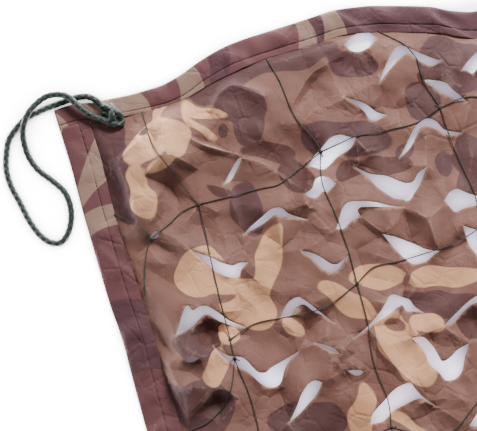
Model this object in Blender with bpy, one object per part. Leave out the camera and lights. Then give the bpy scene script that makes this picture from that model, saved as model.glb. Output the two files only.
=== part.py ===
"""Camouflage netting: a bound panel of leaf-cut cloth under a knotted twine net, with a corner tie.

The net lies face up on the surface z = 0. Lengths in the tables are millimetres. They are measured from
the tied corner of the sewn net: across runs along +X and up runs along +Y, so the net's body has negative
up values. The finished objects are in metres, with the middle of the footprint at the origin.
"""

import math
import random
from bisect import bisect_right

import bmesh
import bpy
from mathutils import Matrix, Vector
from mathutils.bvhtree import BVHTree
from mathutils.geometry import delaunay_2d_cdt

MM = 0.001
SEED = 11

# Overall size of the sewn net and the place of its tied corner.
NET_ACROSS = 490
NET_DOWN = 420
CORNER_ACROSS = -246
CORNER_UP = 205.5

# Clearance between sewn pieces.
SEAM_GAP = 0.3

# Cloth panel.
CLOTH_THICKNESS = 1.6
CLOTH_LOWEST_TOP = 2.0
FREE_POINT_SPACING = 15
FREE_POINT_JITTER = 5
FREE_POINT_MARGIN = 5.5
EDGE_SPACING = 15
EDGE_SETTLE = 16
CLOTH_CORNER_UP = -30
CLOTH_CORNER_INSET = 1

# Folds of the cloth.
FOLD_BASE = 5.5
UPPER_LIP_LIFT = 7.0
LOWER_LIP_SINK = 3.5
LIP_REACH = 17
CRUMPLE = 2.6
TOP_LIMIT = 19

# Binding: folded strip with a stitch groove. Each row of its section is (the place it is measured from,
# the distance from there, the share of the full thickness).
BINDING_THICKNESS = 2.2
STITCH_FROM_EDGE = 15
STITCH_MARGIN = 3
STRIP_SECTION = [
    ("outer", 0, 0.45), ("outer", 0.7, 0.8), ("outer", 2.2, 1),
    ("stitch", -1.6, 0.95), ("stitch", 0, 0.68), ("stitch", 1.2, 0.95),
    ("inner", -0.5, 0.8),
]
STATION_SPACING = 14

# Ends of the level strips. The upright strips end a gap short of these, measured at two places across.
LEVEL_STRIP_ENDS = (0.5, 489.5)
SIDE_STRIP_GAP = 1.2
LEFT_ENDS_AT = 20
RIGHT_ENDS_AT = 478

# Twine net.
TWINE_RADIUS = 0.7
KNOT_RADIUS = 1.9
KNOT_TURN = 0.35
STRAND_START = 0.55
TWINE_STEP = 11
TWINE_LOOK = 2.4
TWINE_SIDE_LOOK = 1.5
TWINE_CHECKS = 9
TWINE_PASSES = 4

# Tie cord and its knot.
CORD_RADIUS = 2.5
CORD_STEP = 1
CORD_POINT_SPACING = 10.5
KNOT_CENTRE = (43, -18.5, 7.2)
KNOT_HALF_SIZE = (6.2, 7.4, 4.4)
KNOT_RIDGES = 5
KNOT_RIDGE_DEPTH = 0.09
KNOT_RIDGE_TWIST = 2.2
KNOT_FLAT_RADIUS = 15

# Outer edges: each row is (along, out), where along is the place on the edge and out the outline.
TOP_EDGE = [(0, -2), (9, 0), (29, -4), (61, -7), (82, -7), (95, -5), (117, 3), (133, 7), (151, 9), (192, 10),
            (223, 11), (236, 10), (239, 8), (247, 8), (279, -2), (303, -10), (307, -14), (326, -21),
            (372, -19), (415, -9), (450, -3), (490, -2)]
BOTTOM_EDGE = [(0, -418), (70, -421), (150, -417), (235, -422), (320, -418), (400, -423), (490, -419)]
LEFT_EDGE = [(-18, 0.5), (-46, 1), (-86, 0), (-155, 0), (-180, 2), (-208, 1), (-251, 0), (-330, 3), (-398, 1)]
RIGHT_EDGE = [(-22, 489), (-90, 492), (-170, 488), (-250, 491), (-330, 487), (-398, 490)]

# Visible width of each strip and its lift off the surface: each row is (along, width, lift).
TOP_STRIP = [(0, 16, 0), (62, 16, 0), (92, 18, 1), (110, 20, 3), (135, 22, 5), (167, 20, 3), (200, 21, 1.5),
             (236, 21, 4), (252, 22, 1.5), (295, 22, 3), (320, 22, 1), (372, 23, 2), (430, 24, 0.5), (490, 24, 0)]
BOTTOM_STRIP = [(0, 24, 0), (60, 24, 1), (120, 24, 2.5), (180, 23, 0.5), (260, 24, 2), (330, 24, 0),
                (410, 24, 2.5), (450, 24, 0.5), (490, 24, 0)]
LEFT_STRIP = [(-18, 24, 0), (-60, 24, 0.5), (-100, 23, 1.5), (-150, 25, 0.5), (-190, 24, 2), (-240, 26, 0.5),
              (-300, 25, 2), (-350, 25, 1), (-398, 25, 0)]
RIGHT_STRIP = [(-22, 25, 0), (-80, 25, 2), (-140, 24, 0.5), (-210, 25, 3), (-280, 25, 1), (-340, 24, 2),
               (-398, 25, 0)]

# Gaps of the photographed corner. Each row is (across, up, length, turn in degrees, crown, crown_at, dip,
# dip_at): crown and dip are how far the upper and the lower lip rise from the line between the tips, and
# the two _at values say how far along that line each lip is at its furthest.
GAPS = [
    (236, -23, 21, 1, 6, 0.58, -7, 0.43),
    (265, -52, 50, 3, 23, 0.46, 14, 0.57),
    (225, -66, 35, -38, 2, 0.46, -7, 0.75),
    (286, -72, 36, -44, 4, 0.52, -3, 0.55),
    (313, -56, 27, 25, 3, 0.47, -7, 0.35),
    (192, -93, 40, 17, 11, 0.64, -5, 0.49),
    (175, -117, 26, 4, 8, 0.57, -5, 0.47),
    (135, -132, 38, -5, 12, 0.62, 5, 0.51),
    (230, -116, 52, -15, -11, 0.67, -24, 0.65),
    (263, -108, 48, 5, 20, 0.57, 14, 0.57),
    (202, -146, 46, 2, 15, 0.32, 5, 0.39),
    (278, -157, 35, -21, 9, 0.3, -8, 0.36),
    (228, -174, 42, -33, 1, 0.51, -14, 0.61),
    (273, -189, 31, -75, 8, 0.42, -4, 0.42),
    (88, -143, 43, -29, -1, 0.62, -13, 0.78),
    (165, -162, 35, -20, -8, 0.63, -15, 0.67),
    (67, -194, 50, -11, 20, 0.33, 9, 0.38),
    (137, -206, 36, -20, 16, 0.3, 9, 0.36),
    (95, -217, 58, -20, -15, 0.6, -27, 0.7),
    (119, -265, 39, 34, 9, 0.68, -3, 0.56),
    (162, -253, 11, -17, 2, 0.5, -4, 0.55),
    (198, -225, 45, 1, 19, 0.6, 8, 0.7),
    (228, -250, 41, -25, -12, 0.56, -27, 0.7),
    (254, -230, 42, 23, 3, 0.53, -3, 0.53),
    (186, -293, 47, -2, 21, 0.63, 6, 0.57),
    (240, -309, 27, 32, 4, 0.42, -6, 0.42),
    (48, -210, 11, -4, 3, 0.48, -2, 0.46),
    (47, -114, 9, 25, 2, 0.5, -2.5, 0.5),
    (61, -38, 9, 20, 2, 0.5, -2.5, 0.5),
]

# Gaps of the hidden part repeat these forms: (length, turn, crown, crown_at, dip, dip_at).
GAP_FORMS = [
    (46, 2, 19, 0.58, 7, 0.66),
    (42, -28, 0, 0.5, -14, 0.66),
    (38, 12, 14, 0.36, 4, 0.42),
    (50, -16, -11, 0.6, -24, 0.66),
    (34, 26, 4, 0.5, -5, 0.45),
    (36, -40, 3, 0.5, -6, 0.6),
]
GAP_PITCH_ACROSS = 67
GAP_PITCH_UP = 31
GAP_SHIFT = 7
GAP_FIRST_SHARE = 0.35
GAP_STAGGER_SHARE = 0.5
GAP_TURN_SPREAD = 8
GAP_TRIES = 4
GAP_BRIDGE = 6.5
GAP_EDGE_MARGIN = 5
LIP_POINTS = (0.28, 0.6, 1.0)

# Limits of the photographed part: below and right of these slanting lines the gaps are laid out in rows.
SEEN_DOWN_LIMIT = 262
SEEN_ACROSS_LIMIT = 344
SEEN_SLANT = 0.296

# Raised crumples of cloth: each row is (across, up, half_across, half_up, height).
CRUMPLE_FALL = 1.4
CRUMPLES = [
    (72, -66, 30, 34, 8),
    (132, -52, 26, 22, 3),
    (56, -176, 18, 26, 4),
    (150, -180, 22, 20, 3),
    (300, -130, 26, 22, 3),
    (352, -238, 34, 30, 5),
    (412, -96, 30, 34, 5),
    (120, -345, 36, 28, 5),
    (420, -350, 30, 30, 4),
]

# Knots of the twine net (across, up), and its strands: each row names its ends and lists the points between.
TWINE_KNOTS = {
    "a": (85, -101), "b": (184, -89), "c": (278, -83), "c_right": (382, -90),
    "d": (79, -204), "e": (181, -191), "f": (283, -176), "f_right": (386, -186),
    "fork": (43, -116), "split": (78, -219), "g": (175, -300), "g_left": (74, -304),
    "g_right": (280, -288), "g_far": (385, -296),
    "top_1": (69, -27), "top_2": (167, -14), "top_3": (257, -21), "top_4": (376, -46),
    "left_1": (28, -95), "left_2": (29, -148), "left_3": (31, -260), "left_4": (31, -306),
    "right_1": (461, -94), "right_2": (460, -188), "right_3": (460, -292),
    "bottom_1": (78, -394), "bottom_2": (172, -392), "bottom_3": (284, -393), "bottom_4": (380, -395),
}
TWINE_STRANDS = [
    ("top_1", "a", [(64, -41), (66, -55), (72, -70), (77, -84)]),
    ("top_2", "b", [(169, -30), (171, -51), (174, -64), (180, -76)]),
    ("top_3", "c", [(267, -31), (272, -42), (272, -54), (274, -68)]),
    ("top_4", "c_right", [(379, -68)]),
    ("a", "b", [(104, -102), (132, -103), (146, -104), (162, -98)]),
    ("b", "c", [(210, -86), (236, -88), (258, -89)]),
    ("c", "c_right", [(299, -81), (322, -88), (352, -92)]),
    ("c_right", "right_1", [(412, -86), (440, -90)]),
    ("a", "fork", [(71, -103), (60, -109)]),
    ("left_1", "fork", [(38, -104)]),
    ("fork", "left_2", [(38, -124), (33, -136)]),
    ("a", "d", [(84, -122), (82, -143), (80, -179)]),
    ("b", "e", [(178, -108), (180, -135), (182, -166)]),
    ("c", "f", [(279, -104), (282, -136), (284, -160)]),
    ("c_right", "f_right", [(380, -120), (384, -156)]),
    ("d", "e", [(100, -198), (125, -200), (154, -201)]),
    ("e", "f", [(196, -183), (216, -184), (237, -184), (265, -182)]),
    ("f", "f_right", [(312, -180), (350, -184)]),
    ("f_right", "right_2", [(418, -190), (440, -187)]),
    ("d", "split", []),
    ("split", "left_3", [(70, -238), (60, -250), (46, -258)]),
    ("split", "g_left", [(81, -248), (80, -276)]),
    ("e", "g", [(180, -222), (176, -248), (178, -284)]),
    ("f", "g_right", [(281, -214), (285, -252)]),
    ("f_right", "g_far", [(388, -220), (384, -262)]),
    ("left_4", "g_left", [(50, -302)]),
    ("g_left", "g", [(104, -306), (140, -302)]),
    ("g", "g_right", [(192, -309), (214, -316), (244, -298)]),
    ("g_right", "g_far", [(316, -290), (352, -297)]),
    ("g_far", "right_3", [(420, -298)]),
    ("g_left", "bottom_1", [(73, -336), (78, -368)]),
    ("g", "bottom_2", [(174, -332), (170, -364)]),
    ("g_right", "bottom_3", [(282, -324), (286, -360)]),
    ("g_far", "bottom_4", [(383, -330), (378, -366)]),
]

# Route of the tie cord (across, up, height of its middle) from the knot, round the loop and back over itself.
CORD_ROUTE = [
    (37.2, -10.6, 6.0), (34, -5, 5.2), (28, 0.5, 3.6), (19, 2.5, 2.5), (8, 2, 2.5), (-4, 1, 2.5), (-11, 0, 2.5),
    (-21, -2, 2.5), (-30, -7, 2.5), (-38, -14, 2.5), (-42, -22, 2.5), (-46, -35, 2.5), (-46, -48, 2.5),
    (-43, -62, 2.5), (-40, -77, 2.5), (-35, -90, 2.5), (-29, -97, 2.5), (-22, -99, 2.5), (-15, -94, 2.5),
    (-9.5, -84, 2.5), (-7.5, -73, 2.5), (-9, -63, 2.5), (-15, -53, 2.5), (-23, -42, 2.5), (-27, -31, 2.7),
    (-27.5, -20, 3.8), (-26, -12, 5.8), (-23, -6, 7.6), (-18, 0.5, 8.1), (-10, 6, 6.8), (-1, 9, 6.4),
    (8, 7.5, 7.6), (14, 4, 8.3), (19, -4, 8.0), (24, -11, 7.0), (29, -16, 6.4), (34.2, -20, 6.6),
]

# Colour, roughness and metallic value of each piece.
COLOURS = {
    "leaf_cloth": (0.32, 0.21, 0.15),
    "binding": (0.23, 0.115, 0.115),
    "twine_net": (0.035, 0.05, 0.035),
    "tie_cord": (0.04, 0.085, 0.05),
    "tie_knot": (0.04, 0.085, 0.05),
}
FABRIC_ROUGHNESS = 0.6


def clear_scene():
    for item in list(bpy.data.objects):
        bpy.data.objects.remove(item, do_unlink=True)


def new_object(name, data, colour_name=None):
    item = bpy.data.objects.new(name, data)
    bpy.context.scene.collection.objects.link(item)
    item.location = (CORNER_ACROSS * MM, CORNER_UP * MM, 0)
    material = bpy.data.materials.new(name)
    material.use_nodes = True
    shader = material.node_tree.nodes["Principled BSDF"]
    shader.inputs["Base Color"].default_value = (*COLOURS[colour_name or name], 1)
    shader.inputs["Roughness"].default_value = FABRIC_ROUGHNESS
    shader.inputs["Metallic"].default_value = 0
    data.materials.append(material)
    return item


def mesh_from(name, points, faces):
    mesh = bpy.data.meshes.new(name)
    mesh.from_pydata([Vector(point) * MM for point in points], [], faces)
    shell = bmesh.new()
    shell.from_mesh(mesh)
    bmesh.ops.recalc_face_normals(shell, faces=shell.faces)
    shell.to_mesh(mesh)
    shell.free()
    return mesh


def between(rows, along, column):
    """Value of a column at a place along an edge, on straight lines between the rows."""
    rows = sorted(rows)
    if along <= rows[0][0]:
        return rows[0][column]
    for low, high in zip(rows, rows[1:]):
        if along <= high[0]:
            share = (along - low[0]) / (high[0] - low[0])
            return low[column] + share * (high[column] - low[column])
    return rows[-1][column]


def stations(start, end, spacing):
    count = max(1, round(abs(end - start) / spacing))
    return [start + (end - start) * step / count for step in range(count + 1)]


def strip_profile(width):
    """Upper side of a strip's section: rows of (distance in from the outer edge, height)."""
    measured_from = {"outer": 0, "stitch": min(STITCH_FROM_EDGE, width - STITCH_MARGIN), "inner": width}
    return [(measured_from[place] + inset, share * BINDING_THICKNESS) for place, inset, share in STRIP_SECTION]


def build_strip(name, edge, strip, ends, upright, inward):
    """Binding strip along one edge; upright strips run up and down, and inward is the side of the cloth."""
    points = []
    places = stations(*ends, STATION_SPACING)
    for along in places:
        outer = between(edge, along, 1)
        width = between(strip, along, 1)
        lift = between(strip, along, 2)
        ring = [(inset, lift + top) for inset, top in strip_profile(width)]
        ring += [(ring[-1][0], lift), (ring[0][0], lift)]
        for inset, height in ring:
            out = outer + inward * inset
            points.append((out, along, height) if upright else (along, out, height))
    count = len(ring)
    faces = []
    for row in range(len(places) - 1):
        for step in range(count):
            after = (step + 1) % count
            faces.append([row * count + step, row * count + after,
                          (row + 1) * count + after, (row + 1) * count + step])
    faces.append(list(range(count)))
    faces.append(list(range((len(places) - 1) * count, len(places) * count)))
    return new_object(name, mesh_from(name, points, faces), "binding")


def inner_edge(edge, strip, along, inward):
    return between(edge, along, 1) + inward * between(strip, along, 1)


def side_ends(across):
    top = inner_edge(TOP_EDGE, TOP_STRIP, across, -1) - SIDE_STRIP_GAP
    bottom = inner_edge(BOTTOM_EDGE, BOTTOM_STRIP, across, 1) + SIDE_STRIP_GAP
    return top, bottom


def build_bindings():
    """Top and bottom strips run over the full width; left and right strips fit between them."""
    build_strip("binding_top", TOP_EDGE, TOP_STRIP, LEVEL_STRIP_ENDS, False, -1)
    build_strip("binding_bottom", BOTTOM_EDGE, BOTTOM_STRIP, LEVEL_STRIP_ENDS, False, 1)
    build_strip("binding_left", LEFT_EDGE, LEFT_STRIP, side_ends(LEFT_ENDS_AT), True, 1)
    build_strip("binding_right", RIGHT_EDGE, RIGHT_STRIP, side_ends(RIGHT_ENDS_AT), True, -1)


def cloth_border():
    """Loop round the panel, a seam's gap inside the strips: rows of (across, up, lift of the strip)."""
    left = inner_edge(LEFT_EDGE, LEFT_STRIP, CLOTH_CORNER_UP, 1) + SEAM_GAP
    right = inner_edge(RIGHT_EDGE, RIGHT_STRIP, CLOTH_CORNER_UP, -1) - SEAM_GAP
    border = []
    for across in stations(left + CLOTH_CORNER_INSET, right - CLOTH_CORNER_INSET, EDGE_SPACING):
        up = inner_edge(TOP_EDGE, TOP_STRIP, across, -1) - SEAM_GAP
        border.append((across, up, between(TOP_STRIP, across, 2)))
    top = border[-1][1] - EDGE_SPACING
    bottom = inner_edge(BOTTOM_EDGE, BOTTOM_STRIP, right, 1) + SEAM_GAP
    for up in stations(top, bottom + EDGE_SPACING, EDGE_SPACING):
        border.append((inner_edge(RIGHT_EDGE, RIGHT_STRIP, up, -1) - SEAM_GAP, up, between(RIGHT_STRIP, up, 2)))
    for across in stations(right - CLOTH_CORNER_INSET, left + CLOTH_CORNER_INSET, EDGE_SPACING):
        up = inner_edge(BOTTOM_EDGE, BOTTOM_STRIP, across, 1) + SEAM_GAP
        border.append((across, up, between(BOTTOM_STRIP, across, 2)))
    bottom = border[-1][1] + EDGE_SPACING
    for up in stations(bottom, border[0][1] - EDGE_SPACING, EDGE_SPACING):
        border.append((inner_edge(LEFT_EDGE, LEFT_STRIP, up, 1) + SEAM_GAP, up, between(LEFT_STRIP, up, 2)))
    return border


def bow(share, furthest_at):
    """Rise of a lip from 0 at its tips to 1 at its furthest place."""
    if share < furthest_at:
        return math.sin(math.pi / 2 * share / furthest_at)
    return math.sin(math.pi / 2 * (1 - share) / (1 - furthest_at))


def lip_shares(furthest_at):
    rising = [furthest_at * point for point in LIP_POINTS]
    falling = [1 - (1 - furthest_at) * point for point in reversed(LIP_POINTS[:-1])]
    return rising + falling


def gap_outline(gap):
    """Closed outline of a gap: rows of (across, up, kind), where kind is tip, upper or lower."""
    across, up, length, turn, crown, crown_at, dip, dip_at = gap
    angle = math.radians(turn)
    along = Vector((math.cos(angle), math.sin(angle)))
    rise = Vector((-along.y, along.x))
    first_tip = Vector((across, up)) - along * length / 2
    outline = [(*first_tip, "tip")]
    for share in lip_shares(dip_at):
        place = first_tip + along * length * share + rise * dip * bow(share, dip_at)
        outline.append((*place, "lower"))
    outline.append((*(first_tip + along * length), "tip"))
    for share in reversed(lip_shares(crown_at)):
        place = first_tip + along * length * share + rise * crown * bow(share, crown_at)
        outline.append((*place, "upper"))
    return outline


def inside(point, loop):
    """Whether a point lies inside a closed loop, by counting the sides that a ray to the right crosses."""
    hits = False
    for first, second in zip(loop, loop[1:] + loop[:1]):
        if (first[1] > point[1]) != (second[1] > point[1]):
            crossing = first[0] + (point[1] - first[1]) * (second[0] - first[0]) / (second[1] - first[1])
            hits ^= point[0] < crossing
    return hits


def distance_to_loop(point, loop):
    here = Vector(point[:2])
    nearest = math.inf
    for first, second in zip(loop, loop[1:] + loop[:1]):
        start = Vector(first[:2])
        side = Vector(second[:2]) - start
        share = max(0, min(1, (here - start).dot(side) / side.length_squared))
        nearest = min(nearest, (start + side * share - here).length)
    return nearest


def fits(outline, border, others):
    for place in outline:
        if not inside(place, border) or distance_to_loop(place, border) < GAP_EDGE_MARGIN:
            return False
        if any(distance_to_loop(place, other) < GAP_BRIDGE or inside(place, other) for other in others):
            return False
    return all(distance_to_loop(place, outline) > GAP_BRIDGE for other in others for place in other)


def laid_out_gap(site, chance):
    """A gap of one of the forms near a site, or nothing where the measured gaps are."""
    across = site[0] + chance.uniform(-GAP_SHIFT, GAP_SHIFT)
    up = site[1] + chance.uniform(-GAP_SHIFT, GAP_SHIFT)
    length, turn, *lips = chance.choice(GAP_FORMS)
    if -up < SEEN_DOWN_LIMIT + SEEN_SLANT * across and across < SEEN_ACROSS_LIMIT + SEEN_SLANT * up:
        return None
    turn += chance.uniform(-GAP_TURN_SPREAD, GAP_TURN_SPREAD)
    return gap_outline((across, up, length, turn, *lips))


def all_gap_outlines(border, chance):
    """The measured gaps, then rows of staggered gaps over the part of the net that lies beyond them."""
    outlines = [gap_outline(gap) for gap in GAPS]
    for row in range(1, int(NET_DOWN / GAP_PITCH_UP)):
        for column in range(int(NET_ACROSS / GAP_PITCH_ACROSS) + 1):
            steps = column + GAP_STAGGER_SHARE * (row % 2) + GAP_FIRST_SHARE
            site = (steps * GAP_PITCH_ACROSS, -row * GAP_PITCH_UP)
            for _ in range(GAP_TRIES):
                outline = laid_out_gap(site, chance)
                if outline and fits(outline, border, outlines):
                    outlines.append(outline)
                    break
    return outlines


def crumple_height(across, up):
    height = 0
    for middle, middle_up, half_across, half_up, rise in CRUMPLES:
        square = ((across - middle) / half_across) ** 2 + ((up - middle_up) / half_up) ** 2
        height += rise * math.exp(-square * CRUMPLE_FALL)
    return height


def lobe(offset, reach):
    return math.exp(-(offset.length / reach) ** 2)


def fold_height(across, up, lips, border, chance):
    """Height of the cloth's face: lifted above each gap, sunk below it, crumpled and settled at the seams."""
    here = Vector((across, up))
    height = FOLD_BASE + crumple_height(across, up) + chance.uniform(-CRUMPLE, CRUMPLE)
    height += UPPER_LIP_LIFT * max(lobe(here - upper, LIP_REACH) for upper, lower in lips)
    height -= LOWER_LIP_SINK * max(lobe(here - lower, LIP_REACH) for upper, lower in lips)
    nearest = min(border, key=lambda place: (Vector(place[:2]) - here).length)
    seam = CLOTH_LOWEST_TOP + nearest[2]
    settle = min(1, distance_to_loop((across, up), border) / EDGE_SETTLE)
    height = seam + (height - seam) * settle
    from_knot = (here - Vector(KNOT_CENTRE[:2])).length
    if from_knot < KNOT_FLAT_RADIUS:
        return CLOTH_LOWEST_TOP
    return max(CLOTH_LOWEST_TOP, min(TOP_LIMIT, height))


def free_points(border, outlines, chance):
    points = []
    steps_across = int(NET_ACROSS / FREE_POINT_SPACING)
    steps_down = int(NET_DOWN / FREE_POINT_SPACING)
    for row in range(-1, steps_down + 2):
        for column in range(steps_across + 1):
            across = (column + 0.5 * (row % 2)) * FREE_POINT_SPACING
            across += chance.uniform(-1, 1) * FREE_POINT_JITTER
            up = chance.uniform(-1, 1) * FREE_POINT_JITTER - row * FREE_POINT_SPACING
            place = (across, up)
            if not inside(place, border) or distance_to_loop(place, border) < FREE_POINT_MARGIN:
                continue
            if all(not inside(place, loop) and distance_to_loop(place, loop) >= FREE_POINT_MARGIN
                   for loop in outlines):
                points.append(place)
    return points


def build_cloth(chance):
    """Sheet with cut gaps: a net of flat facets over folded points, closed down to the cloth's thickness."""
    border = cloth_border()
    outlines = all_gap_outlines(border, chance)
    lips = []
    for loop in outlines:
        uppers = [Vector(place[:2]) for place in loop if place[2] == "upper"]
        lowers = [Vector(place[:2]) for place in loop if place[2] == "lower"]
        lips.append((uppers[len(uppers) // 2], lowers[len(lowers) // 2]))
    points = [(across, up, CLOTH_LOWEST_TOP + lift) for across, up, lift in border]
    loops = [list(range(len(border)))]
    for outline in outlines:
        loops.append(list(range(len(points), len(points) + len(outline))))
        for across, up, kind in outline:
            points.append((across, up, fold_height(across, up, lips, border, chance)))
    for across, up in free_points(border, outlines, chance):
        points.append((across, up, fold_height(across, up, lips, border, chance)))
    sides = [pair for loop in loops for pair in zip(loop, loop[1:] + loop[:1])]
    flat = [Vector(point[:2]) for point in points]
    found, _, triangles, origins, _, _ = delaunay_2d_cdt(flat, sides, [], 0, 1e-6)
    heights = [points[origin[0]][2] for origin in origins]
    kept = []
    for triangle in triangles:
        middle = sum((found[corner] for corner in triangle), Vector((0, 0))) / 3
        if inside(middle, border) and not any(inside(middle, loop) for loop in outlines):
            kept.append(tuple(triangle))
    mesh = mesh_from("leaf_cloth", [(*place, height) for place, height in zip(found, heights)], kept)
    close_down(mesh)
    return new_object("leaf_cloth", mesh), len(outlines)


def close_down(mesh):
    """Turn the open face into a closed sheet by an upright extrusion of the cloth's thickness."""
    shell = bmesh.new()
    shell.from_mesh(mesh)
    loose = [corner for corner in shell.verts if not corner.link_faces]
    bmesh.ops.delete(shell, geom=loose, context="VERTS")
    grown = bmesh.ops.extrude_face_region(shell, geom=shell.faces[:], use_keep_orig=True)
    lowered = [item for item in grown["geom"] if isinstance(item, bmesh.types.BMVert)]
    bmesh.ops.translate(shell, vec=(0, 0, -CLOTH_THICKNESS * MM), verts=lowered)
    bmesh.ops.recalc_face_normals(shell, faces=shell.faces)
    shell.to_mesh(mesh)
    shell.free()


def cloth_top(tree, across, up, reach):
    """Highest face of the cloth within reach of a place, or nothing over a gap."""
    highest = None
    for step_across in (-1, -0.5, 0, 0.5, 1):
        for step_up in (-1, -0.5, 0, 0.5, 1):
            start = Vector((across + step_across * reach, up + step_up * reach, NET_DOWN)) * MM
            hit = tree.ray_cast(start, Vector((0, 0, -1)))[0]
            if hit is not None:
                highest = hit.z / MM if highest is None else max(highest, hit.z / MM)
    return highest


def resample(points, spacing):
    """Points at an even spacing on the smooth line through hand-placed points."""
    places = [Vector(point) for point in points]
    padded = [2 * places[0] - places[1]] + places + [2 * places[-1] - places[-2]]
    line = []
    for before, first, second, after in zip(padded, padded[1:], padded[2:], padded[3:]):
        count = max(1, round((second - first).length / spacing))
        for step in range(count):
            share = step / count
            line.append(0.5 * (2 * first + (second - before) * share
                               + (2 * before - 5 * first + 4 * second - after) * share ** 2
                               + (3 * first - before - 3 * second + after) * share ** 3))
    return line + [places[-1]]


def even_points(line, spacing):
    """Points at equal distances along a line, its two ends among them."""
    reached = [0]
    for before, after in zip(line, line[1:]):
        reached.append(reached[-1] + (after - before).length)
    count = round(reached[-1] / spacing)
    points = [line[0]]
    for step in range(1, count):
        along = reached[-1] * step / count
        index = bisect_right(reached, along)
        share = (along - reached[index - 1]) / (reached[index] - reached[index - 1])
        points.append(line[index - 1].lerp(line[index], share))
    return points + [line[-1]]


def twine_sinks(tree, start, end, start_radius, end_radius):
    """How far a strand between two places would have to rise to clear the cloth under it."""
    missing = 0
    for check in range(TWINE_CHECKS + 1):
        share = check / TWINE_CHECKS
        place = start.lerp(end, share)
        radius = start_radius + (end_radius - start_radius) * share
        top = cloth_top(tree, place.x, place.y, radius * TWINE_SIDE_LOOK)
        if top is not None:
            missing = max(missing, top + SEAM_GAP + radius - place.z)
    return missing


def add_strand(shell, line):
    """Closed four-sided strand along a line, with level sides."""
    rings = []
    for before, here, after in zip([line[0]] + line[:-1], line, line[1:] + [line[-1]]):
        heading = (after - before).normalized()
        side = heading.cross(Vector((0, 0, 1))).normalized() * TWINE_RADIUS
        rise = side.cross(heading).normalized() * TWINE_RADIUS
        rings.append([shell.verts.new((here + offset) * MM) for offset in (side, rise, -side, -rise)])
    for ring, after in zip(rings, rings[1:]):
        for corner in range(4):
            beyond = (corner + 1) % 4
            shell.faces.new((ring[corner], ring[beyond], after[beyond], after[corner]))
    shell.faces.new(rings[0])
    shell.faces.new(rings[-1])


def twine_lines(tree):
    """Knot places and strand lines, lifted together until they clear the cloth."""
    names = list(TWINE_KNOTS)
    points = [TWINE_KNOTS[name] for name in names]
    strands = []
    for first, last, middle in TWINE_STRANDS:
        line = resample([TWINE_KNOTS[first], *middle, TWINE_KNOTS[last]], TWINE_STEP)[1:-1]
        inner = list(range(len(points), len(points) + len(line)))
        points += [tuple(place) for place in line]
        strands.append([names.index(first), *inner, names.index(last)])
    radii = [KNOT_RADIUS if index < len(names) else TWINE_RADIUS for index in range(len(points))]
    placed = []
    for (across, up), radius in zip(points, radii):
        top = cloth_top(tree, across, up, radius + TWINE_LOOK) or CLOTH_LOWEST_TOP
        placed.append(Vector((across, up, top + SEAM_GAP + radius)))
    for _ in range(TWINE_PASSES):
        for strand in strands:
            for first, last in zip(strand, strand[1:]):
                missing = twine_sinks(tree, placed[first], placed[last], radii[first], radii[last])
                placed[first].z += missing
                placed[last].z += missing
    return placed[:len(names)], [[placed[index] for index in strand] for strand in strands]


def build_twine(cloth):
    """Knotted net: thin strands that follow the cloth, each reaching into its knots and fused with them."""
    tree = BVHTree.FromPolygons([corner.co for corner in cloth.data.vertices],
                                [side.vertices for side in cloth.data.polygons])
    knots, lines = twine_lines(tree)
    shell = bmesh.new()
    for line in lines:
        first, second, before_last, last = line[0], line[1], line[-2], line[-1]
        line[0] = first + (second - first).normalized() * KNOT_RADIUS * STRAND_START
        line[-1] = last + (before_last - last).normalized() * KNOT_RADIUS * STRAND_START
        add_strand(shell, line)
    bmesh.ops.recalc_face_normals(shell, faces=shell.faces)
    mesh = bpy.data.meshes.new("twine_net")
    shell.to_mesh(mesh)
    shell.free()
    net = new_object("twine_net", mesh)
    lumps = bmesh.new()
    for place in knots:
        turned = Matrix.Translation(place * MM) @ Matrix.Rotation(KNOT_TURN, 4, "X")
        bmesh.ops.create_uvsphere(lumps, u_segments=8, v_segments=5, radius=KNOT_RADIUS * MM, matrix=turned)
    lump_mesh = bpy.data.meshes.new("twine_knots")
    lumps.to_mesh(lump_mesh)
    lumps.free()
    cutter = bpy.data.objects.new("twine_knots", lump_mesh)
    bpy.context.scene.collection.objects.link(cutter)
    cutter.location = net.location
    cutter.hide_render = True
    union = net.modifiers.new("Knots", "BOOLEAN")
    union.operation = "UNION"
    union.object = cutter
    union.use_self = True


def build_cord():
    curve = bpy.data.curves.new("tie_cord", "CURVE")
    curve.dimensions = "3D"
    curve.bevel_depth = CORD_RADIUS * MM
    curve.bevel_resolution = 2
    curve.use_fill_caps = True
    places = even_points(resample(CORD_ROUTE, CORD_STEP), CORD_POINT_SPACING)
    line = curve.splines.new("POLY")
    line.points.add(len(places) - 1)
    for point, place in zip(line.points, places):
        point.co = (*(place * MM), 1)
    return new_object("tie_cord", curve)


def build_knot():
    """Knot of the tie: a low wound lump with ridges that turn round it."""
    shell = bmesh.new()
    bmesh.ops.create_uvsphere(shell, u_segments=20, v_segments=10, radius=1)
    for corner in shell.verts:
        around = math.atan2(corner.co.y, corner.co.x)
        wave = math.sin(KNOT_RIDGES * around + KNOT_RIDGE_TWIST * corner.co.z)
        girth = 1 - KNOT_RIDGE_DEPTH * (1 - wave)
        corner.co = Vector(side * half * girth for side, half in zip(corner.co, KNOT_HALF_SIZE))
        corner.co = (corner.co + Vector(KNOT_CENTRE)) * MM
    mesh = bpy.data.meshes.new("tie_knot")
    shell.to_mesh(mesh)
    shell.free()
    return new_object("tie_knot", mesh)


def main():
    clear_scene()
    chance = random.Random(SEED)
    build_bindings()
    cloth, gap_count = build_cloth(chance)
    build_twine(cloth)
    build_cord()
    build_knot()
    print("gaps cut through:", gap_count)


main()
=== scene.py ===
# Camouflage netting: leaf-cut cloth in a folded and stitched binding, a knotted twine net over it
# and a braided tie at the corner.
import math

import bmesh
import bpy
import numpy as np
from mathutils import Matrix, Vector
from mathutils.bvhtree import BVHTree
from mathutils.geometry import barycentric_transform, delaunay_2d_cdt
from mathutils.kdtree import KDTree


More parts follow.
